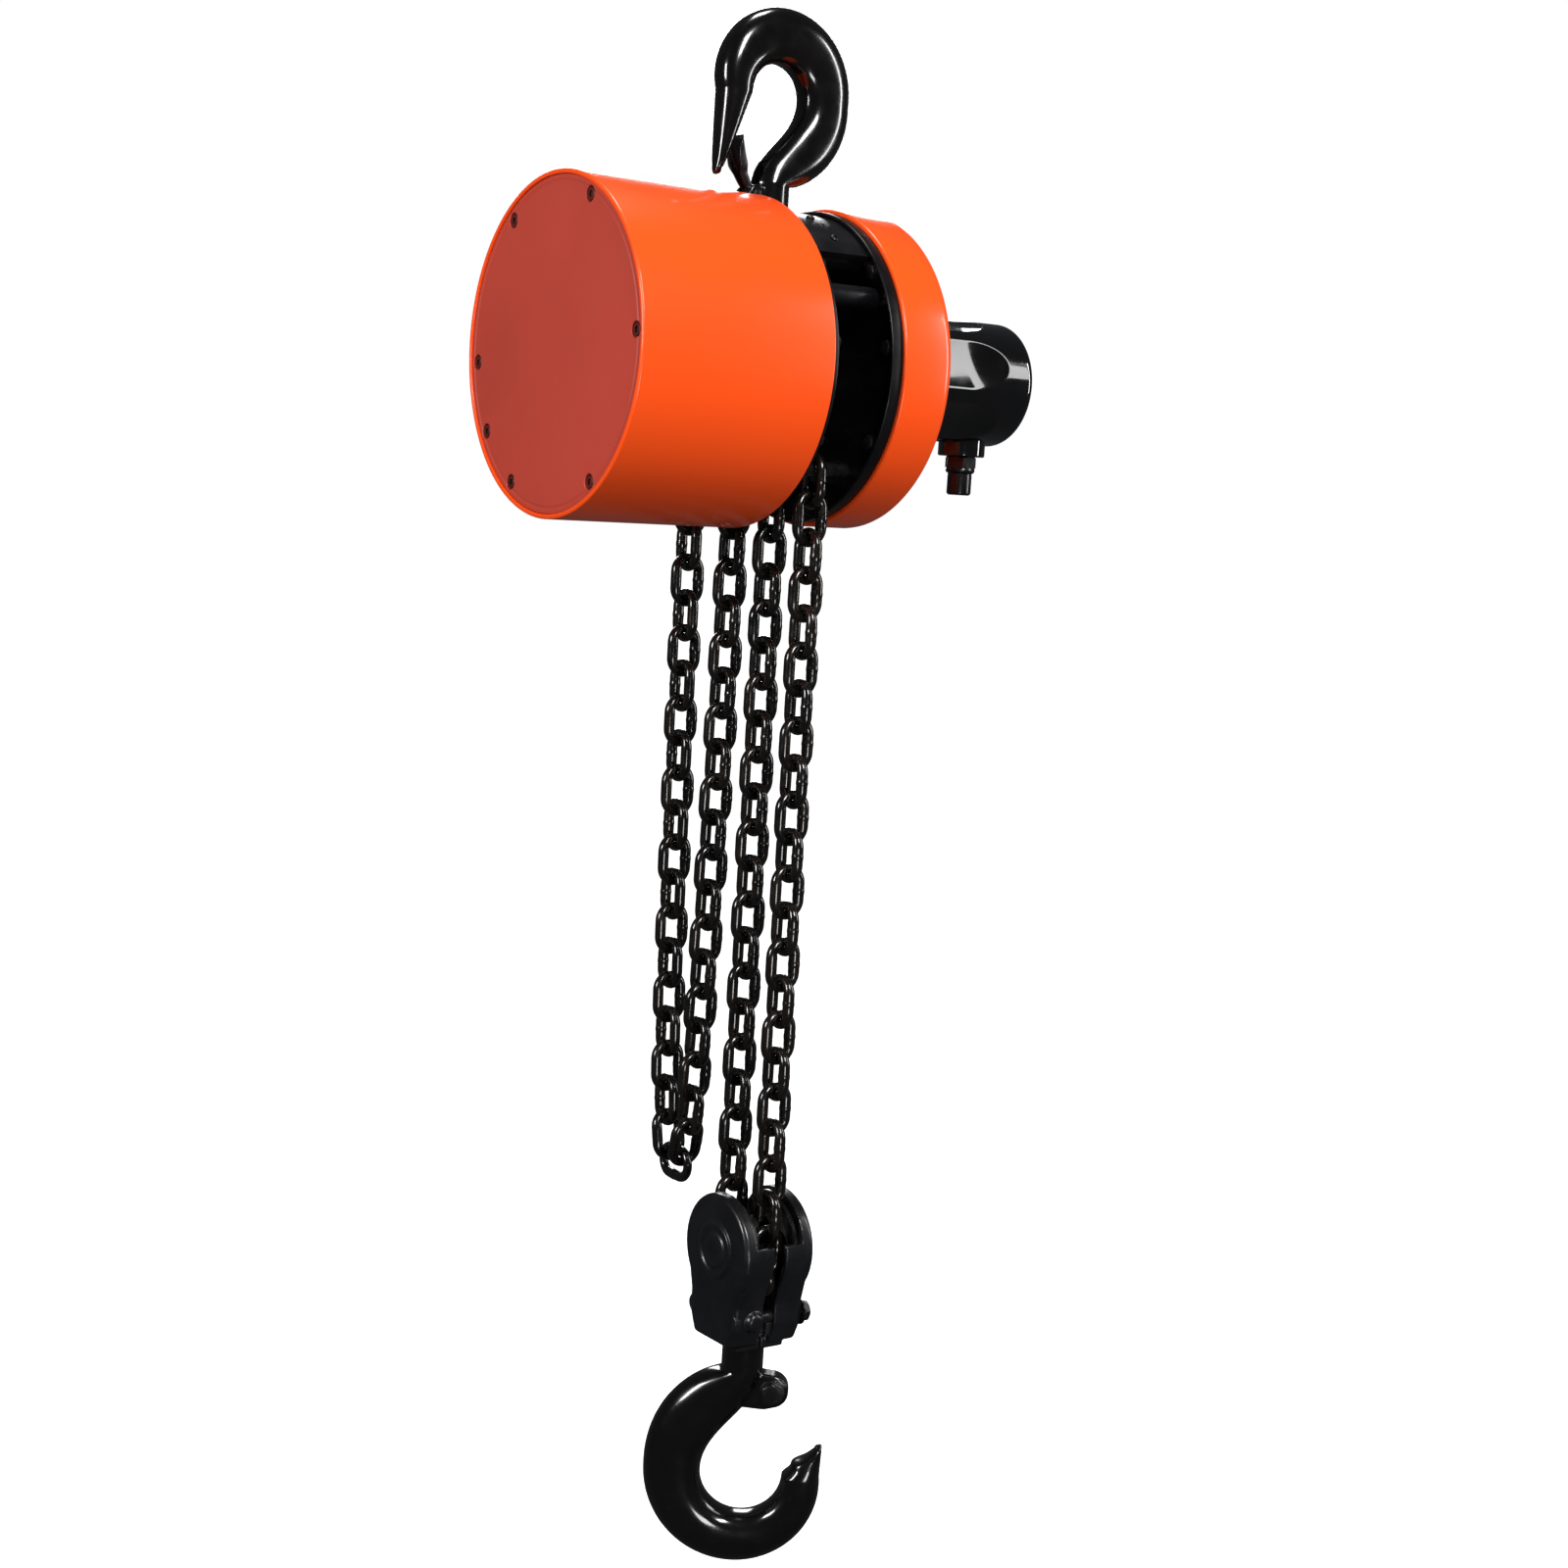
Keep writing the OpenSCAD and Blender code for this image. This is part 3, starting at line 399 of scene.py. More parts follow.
def new_object(name, part, angle=35.0):
    """Object from a part, with doubled corners welded and edges over the angle kept sharp."""
    corners, faces = part
    mesh = bpy.data.meshes.new(name)
    mesh.from_pydata([tuple(c) for c in np.asarray(corners) * MM], [], faces)
    bm = bmesh.new()
    bm.from_mesh(mesh)
    bmesh.ops.remove_doubles(bm, verts=bm.verts, dist=1e-6)
    bmesh.ops.recalc_face_normals(bm, faces=bm.faces)
    bm.to_mesh(mesh)
    bm.free()
    mesh.shade_smooth()
    mesh.set_sharp_from_angle(angle=math.radians(angle))
    obj = bpy.data.objects.new(name, mesh)
    bpy.context.scene.collection.objects.link(obj)
    return obj


def cut(obj, part):
    """Cuts a closed mesh out of an object and keeps the result as its mesh."""
    tool = new_object(obj.name + "_tool", part)
    step = obj.modifiers.new("cut", "BOOLEAN")
    step.object = tool
    step.operation = "DIFFERENCE"
    step.solver = "EXACT"
    bake(obj)
    bpy.data.objects.remove(tool)


def bake(obj, angle=35.0):
    """Applies an object's modifiers to its mesh."""
    view = bpy.context.evaluated_depsgraph_get()
    view.update()
    mesh = bpy.data.meshes.new_from_object(obj.evaluated_get(view))
    obj.modifiers.clear()
    old = obj.data
    obj.data = mesh
    bpy.data.meshes.remove(old)
    mesh.shade_smooth()
    mesh.set_sharp_from_angle(angle=math.radians(angle))


node_slot = {p["node"]: p["material_slot"] for p in frame["record"]["subparts"]}
node_body = {node: body for body, members in frame["record"]["behaviour"]["bodies"].items()
             for node in members}


def soften(obj, voxel, rounds):
    """Runs overlapping shells together into one skin and rounds its edges."""
    step = obj.modifiers.new("remesh", "REMESH")
    step.mode = "VOXEL"
    step.voxel_size = voxel * MM
    step = obj.modifiers.new("soften", "SMOOTH")
    step.factor = 0.5
    step.iterations = rounds
    bake(obj, 180)


def fused(name, parts, voxel, rounds):
    """One smooth forging from overlapping closed parts."""
    obj = new_object(name, joined(*parts))
    soften(obj, voxel, rounds)
    return obj


def add(obj, part):
    """Adds a part to an object's mesh."""
    other = new_object(obj.name + "_part", part)
    bm = bmesh.new()
    bm.from_mesh(obj.data)
    bm.from_mesh(other.data)
    bm.to_mesh(obj.data)
    bm.free()
    bpy.data.objects.remove(other)
    return obj


def piece(name, part, *nodes, angle=35.0, paint=None, cuts=()):
    """Makes a piece that stands for CAD nodes, on the body and finish slot of the first."""
    obj = part if isinstance(part, bpy.types.Object) else new_object(name, part, angle)
    for c in cuts:
        cut(obj, c)
    finish = node_slot[nodes[0]]
    obj.data.materials.clear()
    obj.data.materials.append(FINISH[paint or finish])
    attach(obj, node_body[nodes[0]])
    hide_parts(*nodes)
    return obj


def polar(radius, degrees, y=None, z=None):
    """Point on a circle round the housings' axis, at an angle from +Y."""
    a = math.radians(degrees)
    return ((housing_y if y is None else y) + radius * math.cos(a),
            (axis_z if z is None else z) + radius * math.sin(a))


# ---------- every CAD node first gets its own finish; the parts deep inside get near-black steel as painted shade ---

# painted shade: these parts in the frame's gap and in the block get near-black blackened steel
# instead of their own finish
IN_SHADE = ("load_sheave", "sheave_bearings", "sheave_gear", "top_thrust_bearing",
            "slack_anchor_pin", "fall_anchor_pin", "idler_sheave", "idler_axle")
for node_name, node_obj in frame["nodes"].items():
    finish = "blackened_steel" if node_name in IN_SHADE else node_slot[node_name]
    node_obj.data.materials.clear()
    node_obj.data.materials.append(FINISH[finish])

# ---------- housings ----------

BARREL_WALL, BARREL_FLANGE, BARREL_LAND, CASE_WALL = 6, 22, 20, 6
land_x = front_x + COVER_SET + COVER_T + 1
piece("barrel_shell", lathe([
    (front_x, COVER_R + 0.2, 0.9), (front_x, barrel_r, 1.9), (barrel_end, barrel_r, 1.6),
    (barrel_end, barrel_r - BARREL_FLANGE), (barrel_end - 8, barrel_r - BARREL_FLANGE),
    (barrel_end - 8, barrel_r - BARREL_WALL), (land_x + 10, barrel_r - BARREL_WALL),
    (land_x + 10, barrel_r - BARREL_LAND), (land_x, barrel_r - BARREL_LAND),
    (land_x, COVER_R + 0.2)], housing_y, axis_z, 224), "motor_barrel")

cover_x = front_x + COVER_SET
POCKET_R, POCKET_DEPTH = 6.1, 3.4
cover_cuts = []
for a in COVER_ANGLES:
    py, pz = polar(SCREW_RING, a)
    cover_cuts.append(lathe([(cover_x - 3, 0), (cover_x - 3, POCKET_R + 3.6),
                             (cover_x + 0.6, POCKET_R), (cover_x + POCKET_DEPTH, POCKET_R - 0.3),
                             (cover_x + POCKET_DEPTH, 0)], py, pz, 40, closed=False))
cover = new_object("cover_plate", lathe([
    (cover_x + COVER_T, 0), (cover_x + COVER_T, COVER_R), (cover_x, COVER_R, 1.2),
    (cover_x, COVER_R - 3.4, 0.5), (cover_x + 0.5, COVER_R - 4.4, 0.5),
    (cover_x + 0.5, COVER_R - 5.2, 0.5), (cover_x, COVER_R - 6.2, 0.5), (cover_x, 0)],
    housing_y, axis_z, 224, closed=False))
piece("cover_plate", cover, "front_cover", cuts=[joined(*cover_cuts)])

screws = []
for a in COVER_ANGLES:
    py, pz = polar(SCREW_RING, a)
    x0 = cover_x + 0.5
    socket = [(x0 + 1.9, 0), (x0 + 1.9, 2.4), (x0 + 0.1, 2.5), (x0, 2.9, 0.3), (x0, 5.0, 0.8),
              (x0 + 3.0, 5.0), (x0 + 3.0, 3.0), (land_x, 3.0), (land_x, 0)]
    screws.append(lathe(socket, py, pz, 36, closed=False, fillet_steps=3))
# screw heads painted dark red: the cover's red paint, darkened as painted shade of the pockets
piece("cover_screw_heads", joined(*screws), "cover_screws", paint="screw_paint_with_shade")

piece("case_shell", joined(lathe([
    (case_x, case_r - CASE_WALL), (case_x, case_r, 1.6), (case_end, case_r, 9.0), (case_end, 0),
    (case_end - CASE_WALL, 0), (case_end - CASE_WALL, case_r - CASE_WALL)],
    housing_y, axis_z, 224, closed=False)), "gear_case")

# ---------- rear cap: a turned bell with six flutes that run out before its end ----------

FLUTE_R, FLUTE_DEPTH = 120.0, 6.3
FLUTE_AXIS = CAP_R + FLUTE_R - FLUTE_DEPTH
NO_WALL = 90.0
flute_end = case_end + 0.54 * (cap_end - case_end)


def soft_min(a, b, k):
    """The smaller of two radii, blended over a width k where they meet."""
    h = np.clip(0.5 + 0.5 * (b - a) / k, 0, 1)
    return b + (a - b) * h - k * h * (1 - h)


def flute_wall(x, angle):
    """Radius of the flutes' surface at a place on the cap, or a large value outside them."""
    off = (angle - math.radians(FLUTE_FIRST) + math.pi / 6) % (math.pi / 3) - math.pi / 6
    past = np.clip(x - flute_end, 0, None)
    reach = np.sqrt(np.clip(FLUTE_R ** 2 - past ** 2, 0, None))
    side = reach ** 2 - (FLUTE_AXIS * np.sin(off)) ** 2
    return np.where(side > 0, FLUTE_AXIS * np.cos(off) - np.sqrt(np.clip(side, 0, None)), NO_WALL)


cap_rings = []
cap_profile = filleted([(case_end, CAP_R + 2), (case_end + 4.4, CAP_R + 2, 1.2),
                        (case_end + 6, CAP_R, 0.8), (cap_end, CAP_R, 8.0), (cap_end, 6)],
                       False, 10)
dense = []
for (xa, ra), (xb, rb) in zip(cap_profile, cap_profile[1:]):
    parts = max(1, int(abs(xb - xa) / 1.0), int(abs(rb - ra) / 3.0))
    dense += [(xa + (xb - xa) * s / parts, ra + (rb - ra) * s / parts) for s in range(parts)]
dense.append(cap_profile[-1])
cap_angles = np.linspace(0, 2 * math.pi, 432, endpoint=False)
for x, r in dense:
    wall = flute_wall(np.full_like(cap_angles, x), cap_angles)
    if x < case_end + 5.2:
        radius = np.full_like(cap_angles, r)
    else:
        radius = soft_min(np.full_like(cap_angles, r), wall, 0.9)
        radius = np.where(wall > r + 1.2, r, radius)
    cap_rings.append(np.column_stack([np.full_like(cap_angles, x),
                                      housing_y - radius * np.sin(cap_angles),
                                      axis_z + radius * np.cos(cap_angles)]))
PAD_R, PAD_LEN = 20.0, 18
pad_low = axis_z - CAP_R - CAP_PAD
pad = upright(lathe([(0, 0), (0, PAD_R, 1.4), (PAD_LEN, PAD_R), (PAD_LEN, 0)], 0, 0, 72,
                    closed=False),
              GLAND_X, housing_y, pad_low)
cap_shell = piece("cap_shell", joined(rings_to_mesh(cap_rings), pad), "rear_cap", angle=50,
                  paint="cap_gloss")
CAP_SCREW_RING = CAP_R + 6
piece("cap_screw_heads", joined(*[
    hex_head(case_end, case_end + 3, 3.6, *polar(CAP_SCREW_RING, a))
    for a in (45, 135, 225, 315)]), "cap_screws")

nut_turn = turn_about("Y", 90)


def down(part, x, y, z):
    """A part made along +X, turned to point down -Z and placed."""
    return moved(part, (x, y, z), nut_turn)


gland = joined(
    down(hex_head(0, 10.5, 14.0, chamfer_at=0, bore=6.3), GLAND_X, housing_y, pad_low),
    down(lathe([(10.0, 6.3), (10.0, 12.2), (11.6, 12.6, 0.6), (13.6, 12.0, 0.6), (14.6, 10.2, 0.5),
                (17.0, 10.4, 0.4), (31.6, 10.4, 1.6), (33.0, 8.6, 0.8), (33.0, 6.3, 0.6)],
               0, 0, 64), GLAND_X, housing_y, pad_low))
gland_nut = piece("gland_nut_ribbed", gland, "gland_nut")

# ---------- frame: side plates, web, stays and yoke ----------

front_plate = lathe([(barrel_end, 0), (barrel_end, plate_r, 0.8), (gap_front, plate_r, 1.4),
                     (gap_front, 0)], housing_y, axis_z, 192, closed=False)
SHAFT_HOLE_R = 26.0
shaft_hole = rod(-60, 60, SHAFT_HOLE_R, 0, axis_z)
piece("front_plate_turned", front_plate, "front_side_plate", cuts=[shaft_hole])
rear_plate = lathe([(gap_rear, 0), (gap_rear, plate_r - 3.2, 1.0),
                    (gap_rear - 3, plate_r - 3.0, 0.8), (gap_rear - 3, plate_r, 1.0),
                    (case_x, plate_r, 0.8), (case_x, 0)],
                   housing_y, axis_z, 192, closed=False)
piece("rear_plate_turned", rear_plate, "rear_side_plate", cuts=[shaft_hole])


WEB_IN, WEB_OUT = 116.5, 121.4


def web(a0, a1):
    """Curved plate between the side plates, from one angle to another."""
    return lathe([(gap_front, WEB_IN, 0.4), (gap_front, WEB_OUT, 0.8), (gap_rear, WEB_OUT, 0.8),
                  (gap_rear, WEB_IN, 0.4)], housing_y, axis_z, 64, span=(a0, a1))


def button(x, a, r=3.6, rise=2.2):
    """Domed screw head on the web, standing out from the housings' axis."""
    head = lathe([(0, 0), (0, r, 0.4), (rise * 0.5, r, 0.5), (rise, r * 0.55, 0.6), (rise, 1.5),
                  (rise * 0.5, 1.4), (rise * 0.5, 0)], 0, 0, 24, closed=False, fillet_steps=3)
    py, pz = polar(WEB_OUT - 0.2, a)
    return moved(head, (x, py, pz), turn_about("X", a) @ turn_about("Z", 90))


BUTTON_X, BUTTON_ANGLES = 4.0, (108, 126, 55, 20)
WEB_ENDS, WEB_GAP_Y, WEB_GAP_R = (3.0, 134.9), (46, -14), 121
gap_angles = [math.degrees(math.acos(y / WEB_GAP_R)) for y in WEB_GAP_Y]
web_part = joined(web(WEB_ENDS[0], gap_angles[0]), web(gap_angles[1], WEB_ENDS[1]),
                  *[button(BUTTON_X, a) for a in BUTTON_ANGLES])
piece("web_curved", web_part, "frame_web")

yoke_low, yoke_high = box("top_yoke")
yoke_bore = upright(rod(-60, 60, SHANK_R + 0.3), 0, 0, yoke_high[2])
piece("yoke_forged", new_object("yoke_forged", block(yoke_low, yoke_high, 3.0, 4)), "top_yoke",
      cuts=[yoke_bore])

FLANGE_HEX_R, FLANGE_WASHER_R, WASHER_T, HEAD_TOP = 5.5, 7.2, 0.8, 4.6
flange_heads, barrel_heads = [], []
for a in FLANGE_ANGLES:
    py, pz = polar(FLANGE_RING, a)
    flange_heads += [hex_head(gap_rear - HEAD_TOP, gap_rear - WASHER_T, FLANGE_HEX_R, py, pz, -1,
                              20 * a),
                     rod(gap_rear - WASHER_T, gap_rear, FLANGE_WASHER_R, py, pz, 0.3, 32)]
    barrel_heads += [hex_head(gap_front + WASHER_T, gap_front + HEAD_TOP, FLANGE_HEX_R, py, pz, 1,
                              35 * a),
                     rod(gap_front, gap_front + WASHER_T, FLANGE_WASHER_R, py, pz, 0.3, 32)]
piece("case_bolt_heads", joined(*flange_heads), "case_screws")
piece("barrel_bolt_heads", joined(*barrel_heads), "barrel_screws")

STAY_R = 9.0
stays = [rod(gap_front, gap_rear, STAY_R, *polar(STAY_RING, a), 0.8) for a in STAY_ANGLES]
# stay tubes painted near-black satin as painted shade in the frame's gap, not their own finish
piece("stay_tubes", joined(*stays), "stay_bolts", paint="satin_black")

guide_low, guide_high = box("chain_guide")
WINDOW = 18.5
windows = [block((-WINDOW, y - WINDOW, guide_low[2] - 20),
                 (WINDOW, y + WINDOW, guide_high[2] + 20), 3.0, 4) for y in (-STAND_R, FLAT_R)]
piece("guide_plate", block(guide_low, guide_high, 1.6, 3), "chain_guide", cuts=[joined(*windows)])

STRIP_HALF, STRIP_BODY_H, STRIP_TONGUE, STRIP_PIN_R, STRIP_PIN_Z = 16, 39, 4.5, 4.0, 10
strip_low, strip_high = box("chain_stripper")
strip_y = (strip_low[1] + strip_high[1]) / 2
piece("stripper_forged", joined(
    block((-STRIP_HALF, strip_low[1], strip_low[2]),
          (STRIP_HALF, strip_high[1], strip_low[2] + STRIP_BODY_H), 2.5, 4),
    block((-STRIP_TONGUE, strip_low[1] + 2, strip_low[2] + STRIP_PIN_Z),
          (STRIP_TONGUE, strip_high[1] - 2, strip_high[2]), 2.0, 4),
    rod(gap_front, gap_rear, STRIP_PIN_R, strip_y, strip_low[2] + STRIP_PIN_Z)), "chain_stripper")

# ---------- chain: every link is a bent and welded round bar ----------


def link_mesh():
    """A link standing on end: its ring lies in Y and Z, with the weld in one straight side.

    The straight sides are forged thicker than the crowns, and all of it keeps one outer line.
    """
    outer = CROWN_R + WIRE_R
    sides = [-7, -5, -3, -1.9, -1.2, -0.7, -0.3, 0.3, 0.7, 1.2, 1.9, 3, 5, 7]
    bend = 20
    path = [((1, 0), h, SIDE_R) for h in sides[:-1]]
    for turn in (0, math.pi):
        for i in range(bend):
            a = math.pi * i / bend
            thick = SIDE_R + (WIRE_R - SIDE_R) * min(1.0, math.sin(a) * 1.25)
            path.append(((math.cos(a + turn), math.sin(a + turn)),
                         STAND_ARM if turn == 0 else -STAND_ARM, thick))
        if turn == 0:
            path += [((-1, 0), h, SIDE_R + 0.42 * math.exp(-(h / 1.6) ** 2)
                      - 0.16 * math.exp(-(h / 0.45) ** 2)) for h in reversed(sides[1:])]
    rings = []
    for (ny, nz), h, r in path:
        middle = outer - min(r, SIDE_R)
        rings.append([(r * math.sin(b), ny * (middle + r * math.cos(b)),
                       h + nz * (middle + r * math.cos(b)))
                      for b in np.linspace(0, 2 * math.pi, 16, endpoint=False)])
    return rings_to_mesh(rings, closed=True)


LINK = link_mesh()


def link_at(y, z, tilt=0.0, flat=False):
    """A link placed at y and z, tilted about X; a flat one is turned a quarter first."""
    turn = turn_about("X", tilt) @ turn_about("Z", 90 if flat else 0)
    return moved(LINK, (0, y, z), turn)


def fall(y, first, last, flat_rest):
    """Straight fall of links, numbered down from the sheave's axis; flat_rest is 1 or 0.

    It is what a flat link's number leaves when halved.
    """
    return joined(*[link_at(y, axis_z - i * PITCH, 0, i % 2 == flat_rest)
                    for i in range(first, last + 1)])


def wrapped(y, z, turn, first_flat):
    """Four links round half a wheel, turn 1 over it and -1 under it."""
    links = []
    for i in range(4):
        flat = (i % 2 == 0) == first_flat
        a = 60 * i * turn
        r = FLAT_R if flat else STAND_R
        links.append(link_at(y + r * math.cos(math.radians(a)), z + r * math.sin(math.radians(a)),
                             a, flat))
    return joined(*links)


def slack_tilt(i):
    """Tilt of a link of the slack loop, which hangs as a catenary."""
    s = (SLACK_LINKS - i) * PITCH
    if s == 0:
        return 90.0
    a = math.degrees(math.atan(SLACK_SCALE / s))
    return a if s > 0 else 180 + a


def way(degrees):
    """Direction of the chain in Y and Z, 0 straight down."""
    a = math.radians(degrees)
    return np.array([math.sin(a), -math.cos(a)])


def slack_links():
    """Steps from link to link: half a link, a joint of fixed length, half the next."""
    place, before, arm_before = np.array([FLAT_R, axis_z]), 0.0, FLAT_ARM
    links = []
    for i in range(1, 2 * SLACK_LINKS):
        tilt = slack_tilt(i)
        arm = FLAT_ARM if i % 2 == 0 else STAND_ARM
        place = (place + arm_before * way(before) + JOINT * way((before + tilt) / 2)
                 + arm * way(tilt))
        links.append(link_at(place[0], place[1], tilt, i % 2 == 0))
        before, arm_before = tilt, arm
    return joined(*links)


load_y, dead_y = -STAND_R, idler_y - FLAT_R
split = FALL_LINKS - 1 - LIFT_LINKS
piece("chain_over_sheave", wrapped(0, axis_z, 1, True), "sheave_wrap", angle=80)
piece("chain_load_upper", fall(load_y, 1, split, 1), "load_fall_upper", angle=80)
piece("chain_load_lower", fall(load_y, split + 1, FALL_LINKS - 1, 1), "load_fall_lower", angle=80)
piece("chain_dead_upper", fall(dead_y, 3, split, 0), "dead_fall_upper", angle=80)
piece("chain_dead_lower", fall(dead_y, split + 1, FALL_LINKS - 1, 0), "dead_fall_lower", angle=80)
piece("chain_under_idler", wrapped(idler_y, idler_z, -1, False), "idler_wrap", angle=80)
piece("chain_slack_loop", slack_links(), "slack_chain", angle=80)

# ---------- hooks: forged bars swept through changing sections ----------


def mix(a, b, u):
    """Point between two others."""
    return np.array(a, float) + (np.array(b, float) - np.array(a, float)) * u


def bezier(p, u):
    """Point on a cubic curve with four control points."""
    p = np.array(p, float)
    return (p[0] * (1 - u) ** 3 + 3 * p[1] * (1 - u) ** 2 * u + 3 * p[2] * (1 - u) * u * u
            + p[3] * u ** 3)


def hook_mesh(r, t, reach, nose_h, neck, neck_h, lean=0.0, notch=0.0, square=2.35, sides=56):
    """Sweep from nose to neck: inner and outer point and half thickness at each station."""
    stations = []
    tip_in, tip_out = np.array([reach[0] - 6, nose_h - 4]), np.array([reach[0] + 1, nose_h])
    for u in np.linspace(0, 0.97, 26):
        inner = mix(tip_in, (r, 0), u)
        if notch:
            step = math.exp(-((u - 0.50) / 0.13) ** 2) if u < 0.5 else \
                math.exp(-((u - 0.50) / 0.16) ** 2)
            inner = inner + np.array([-notch, 0]) * step
        stations.append((inner, mix(tip_out, (reach[0], 0), u), 3 + (0.42 * t - 3) * math.sqrt(u)))
    for v in np.linspace(0, 2, 61):
        d = np.array([math.cos(math.radians(-90 * v)), math.sin(math.radians(-90 * v))])
        outer = (reach[0] * (v - 1) * (v - 2) / 2 - reach[1] * v * (v - 2)
                 + reach[2] * v * (v - 1) / 2)
        stations.append((r * d, outer * d, (0.42 + 0.08 * min(1, v)) * t))
    for u in np.linspace(0.04, 1, 25):
        stations.append((
            bezier([(-r, 0), (-r, 1.1 * r), (0.9 * neck - lean, 0.6 * neck_h),
                    (neck - lean, neck_h)], u),
            bezier([(-reach[2], 0), (-reach[2] - 3, 0.68 * neck_h), (-2 * neck - lean, neck_h),
                    (-neck - lean, neck_h)], u),
            0.5 * t + (neck - 0.5 * t) * u))
    tip = stations[0]
    middle, half = (tip[0] + tip[1]) / 2, (tip[1] - tip[0]) / 2
    ahead = np.array([half[1], -half[0]])
    ahead = ahead / np.linalg.norm(ahead)
    if ahead[1] < 0:
        ahead = -ahead
    rounding = []
    for a in (80, 62, 42, 21):
        c, s = math.cos(math.radians(a)), math.sin(math.radians(a))
        m = middle + ahead * 2.6 * s
        rounding.append((m - half * c, m + half * c, tip[2] * c))
    # towards the neck the squarish section turns into a round one
    turning = 18
    first = len(stations) - turning
    rings = []
    for i, (inner, outer, thick) in enumerate(rounding + stations):
        mid, half = (inner + outer) / 2, (outer - inner) / 2
        power = 2 / (square if i < first else square + (2.0 - square)
                     * min(1, (i - first) / turning))
        ring = []
        for k in range(sides):
            a = 2 * math.pi * k / sides
            c, s = math.cos(a), math.sin(a)
            c = math.copysign(abs(c) ** power, c)
            s = math.copysign(abs(s) ** power, s)
            ring.append((lean + mid[0] + half[0] * c, thick * s, mid[1] + half[1] * c))
        rings.append(ring)
    return rings_to_mesh(rings)


half_turn = turn_about("Y", 180)
top_neck = TOP_BOWL["neck"]
collar_len = 2 - TOP_BOWL["r"] - TOP_BOWL["neck_h"] - yoke_high[2]
collar = upright(lathe([(0, 0), (0, top_neck, 0.8), (collar_len, top_neck, 0.5), (collar_len, 0)],
                       0, 0, 72, closed=False), 0, 0, yoke_high[2] + 0.3)
shank = upright(rod(0, 80, SHANK_R), 0, 0, yoke_low[2] - 26)
EAR_HALF, EAR_R, LATCH_SLOT = 11, 8.0, 6.5
ears = moved(lathe([(-EAR_HALF, 0), (-EAR_HALF, EAR_R, 1.2), (EAR_HALF, EAR_R, 1.2),
                    (EAR_HALF, 0)], 0, 0, 48, closed=False),
             (LATCH_X + 1, 0, LATCH_Z), turn_about("Z", 90))
slot_cut = block((LATCH_X - 9, -LATCH_SLOT, LATCH_Z - 12),
                 (LATCH_X + 13, LATCH_SLOT, LATCH_Z + 28), 1.5, 3)
top_body = fused("top_hook_forged", [
    moved(hook_mesh(**TOP_BOWL), (0, 0, -TOP_BOWL["r"]), half_turn), collar, ears], 0.8, 5)
cut(top_body, slot_cut)
piece("top_hook_forged", add(top_body, shank), "top_hook")

pin = [(-12.4, 0), (-12.4, 3.4, 1.0), (-11.0, 3.6, 0.3), (-11.0, 2.5), (11.0, 2.5),
       (11.0, 3.6, 0.3), (12.4, 3.4, 1.0), (12.4, 0)]
piece("latch_pin_riveted", moved(lathe(pin, 0, 0, 32, closed=False, fillet_steps=4),
                                 (LATCH_X, 0, LATCH_Z), turn_about("Z", 90)), "top_latch_pin")


def coil(radius, wire, turns, length, steps=20, sides=8):
    """A helical wire about the Y axis."""
    rings = []
    for i in range(int(turns * steps) + 1):
        a = 2 * math.pi * i / steps
        c = np.array([radius * math.cos(a), length * (i / (turns * steps) - 0.5),
                      radius * math.sin(a)])
        out = np.array([math.cos(a), 0, math.sin(a)])
        rings.append([c + wire * (out * math.cos(2 * math.pi * k / sides)
                                  + np.array([0, 1, 0]) * math.sin(2 * math.pi * k / sides))
                      for k in range(sides)])
    return rings_to_mesh(rings)


spring_low, spring_high = box("top_latch_spring")
piece("latch_spring_coil", moved(coil(3.7, 0.45, 3.0, 2.2), (
    LATCH_X, (spring_low[1] + spring_high[1]) / 2, LATCH_Z)), "top_latch_spring")


def latch_mesh():
    """Pressed tongue with folded sides, from round the pin to a curled lip inside the nose."""
    root, tip = np.array([LATCH_X, LATCH_Z]), np.array(LATCH_TIP)
    along = (tip - root) / np.linalg.norm(tip - root)
    out = np.array([-along[1], along[0]])
    if out[0] > 0:
        out = -out
    reach = np.linalg.norm(tip - root)
    t = 1.7  # sheet thickness
    rings = []
    for s in np.linspace(0, 1, 40):
        bow = 2.2 * math.sin(math.pi * s)
        lip = -3.4 * max(0, (s - 0.9) / 0.1) ** 2
        c = root + along * (reach + 3.0) * s + out * (bow + lip - 3.2 * (1 - s) ** 2)
        rise = min(1, max(0, (s - 0.34) / 0.22))
        rise = rise * rise * (3 - 2 * rise)
        end = math.sqrt(max(0.02, 1 - max(0, (s - 0.86) / 0.14) ** 2))
        w = (5.6 + 4.2 * rise) * (0.35 + 0.65 * end)
        d = 2.1 + 0.7 + 4.2 * math.sin(math.pi * min(1, max(0, (s - 0.02) / 0.86))) ** 0.6
        shape = filleted([(-w, 0, 1.2), (-w, d, 0.5), (-w + t, d, 0.5), (-w + t, t, 0.5),
                          (w - t, t, 0.5), (w - t, d, 0.5), (w, d, 0.5), (w, 0, 1.2)], True, 3)
        rings.append([(c[0] + out[0] * m, b, c[1] + out[1] * m) for b, m in shape])
    return rings_to_mesh(rings)


knuckle = moved(lathe([(-5.6, 2.6), (-5.6, 5.2, 0.8), (5.6, 5.2, 0.8), (5.6, 2.6)], 0, 0, 32),
                (LATCH_X, 0, LATCH_Z), turn_about("Z", 90))
piece("latch_pressed", joined(latch_mesh(), knuckle), "top_hook_latch")

low, high = box("top_hook_nut")
piece("top_nut_turned", upright(hex_head(0, high[2] - low[2], 22.0, chamfer_at=0, bore=SHANK_R),
                                0, 0, low[2]), "top_hook_nut")


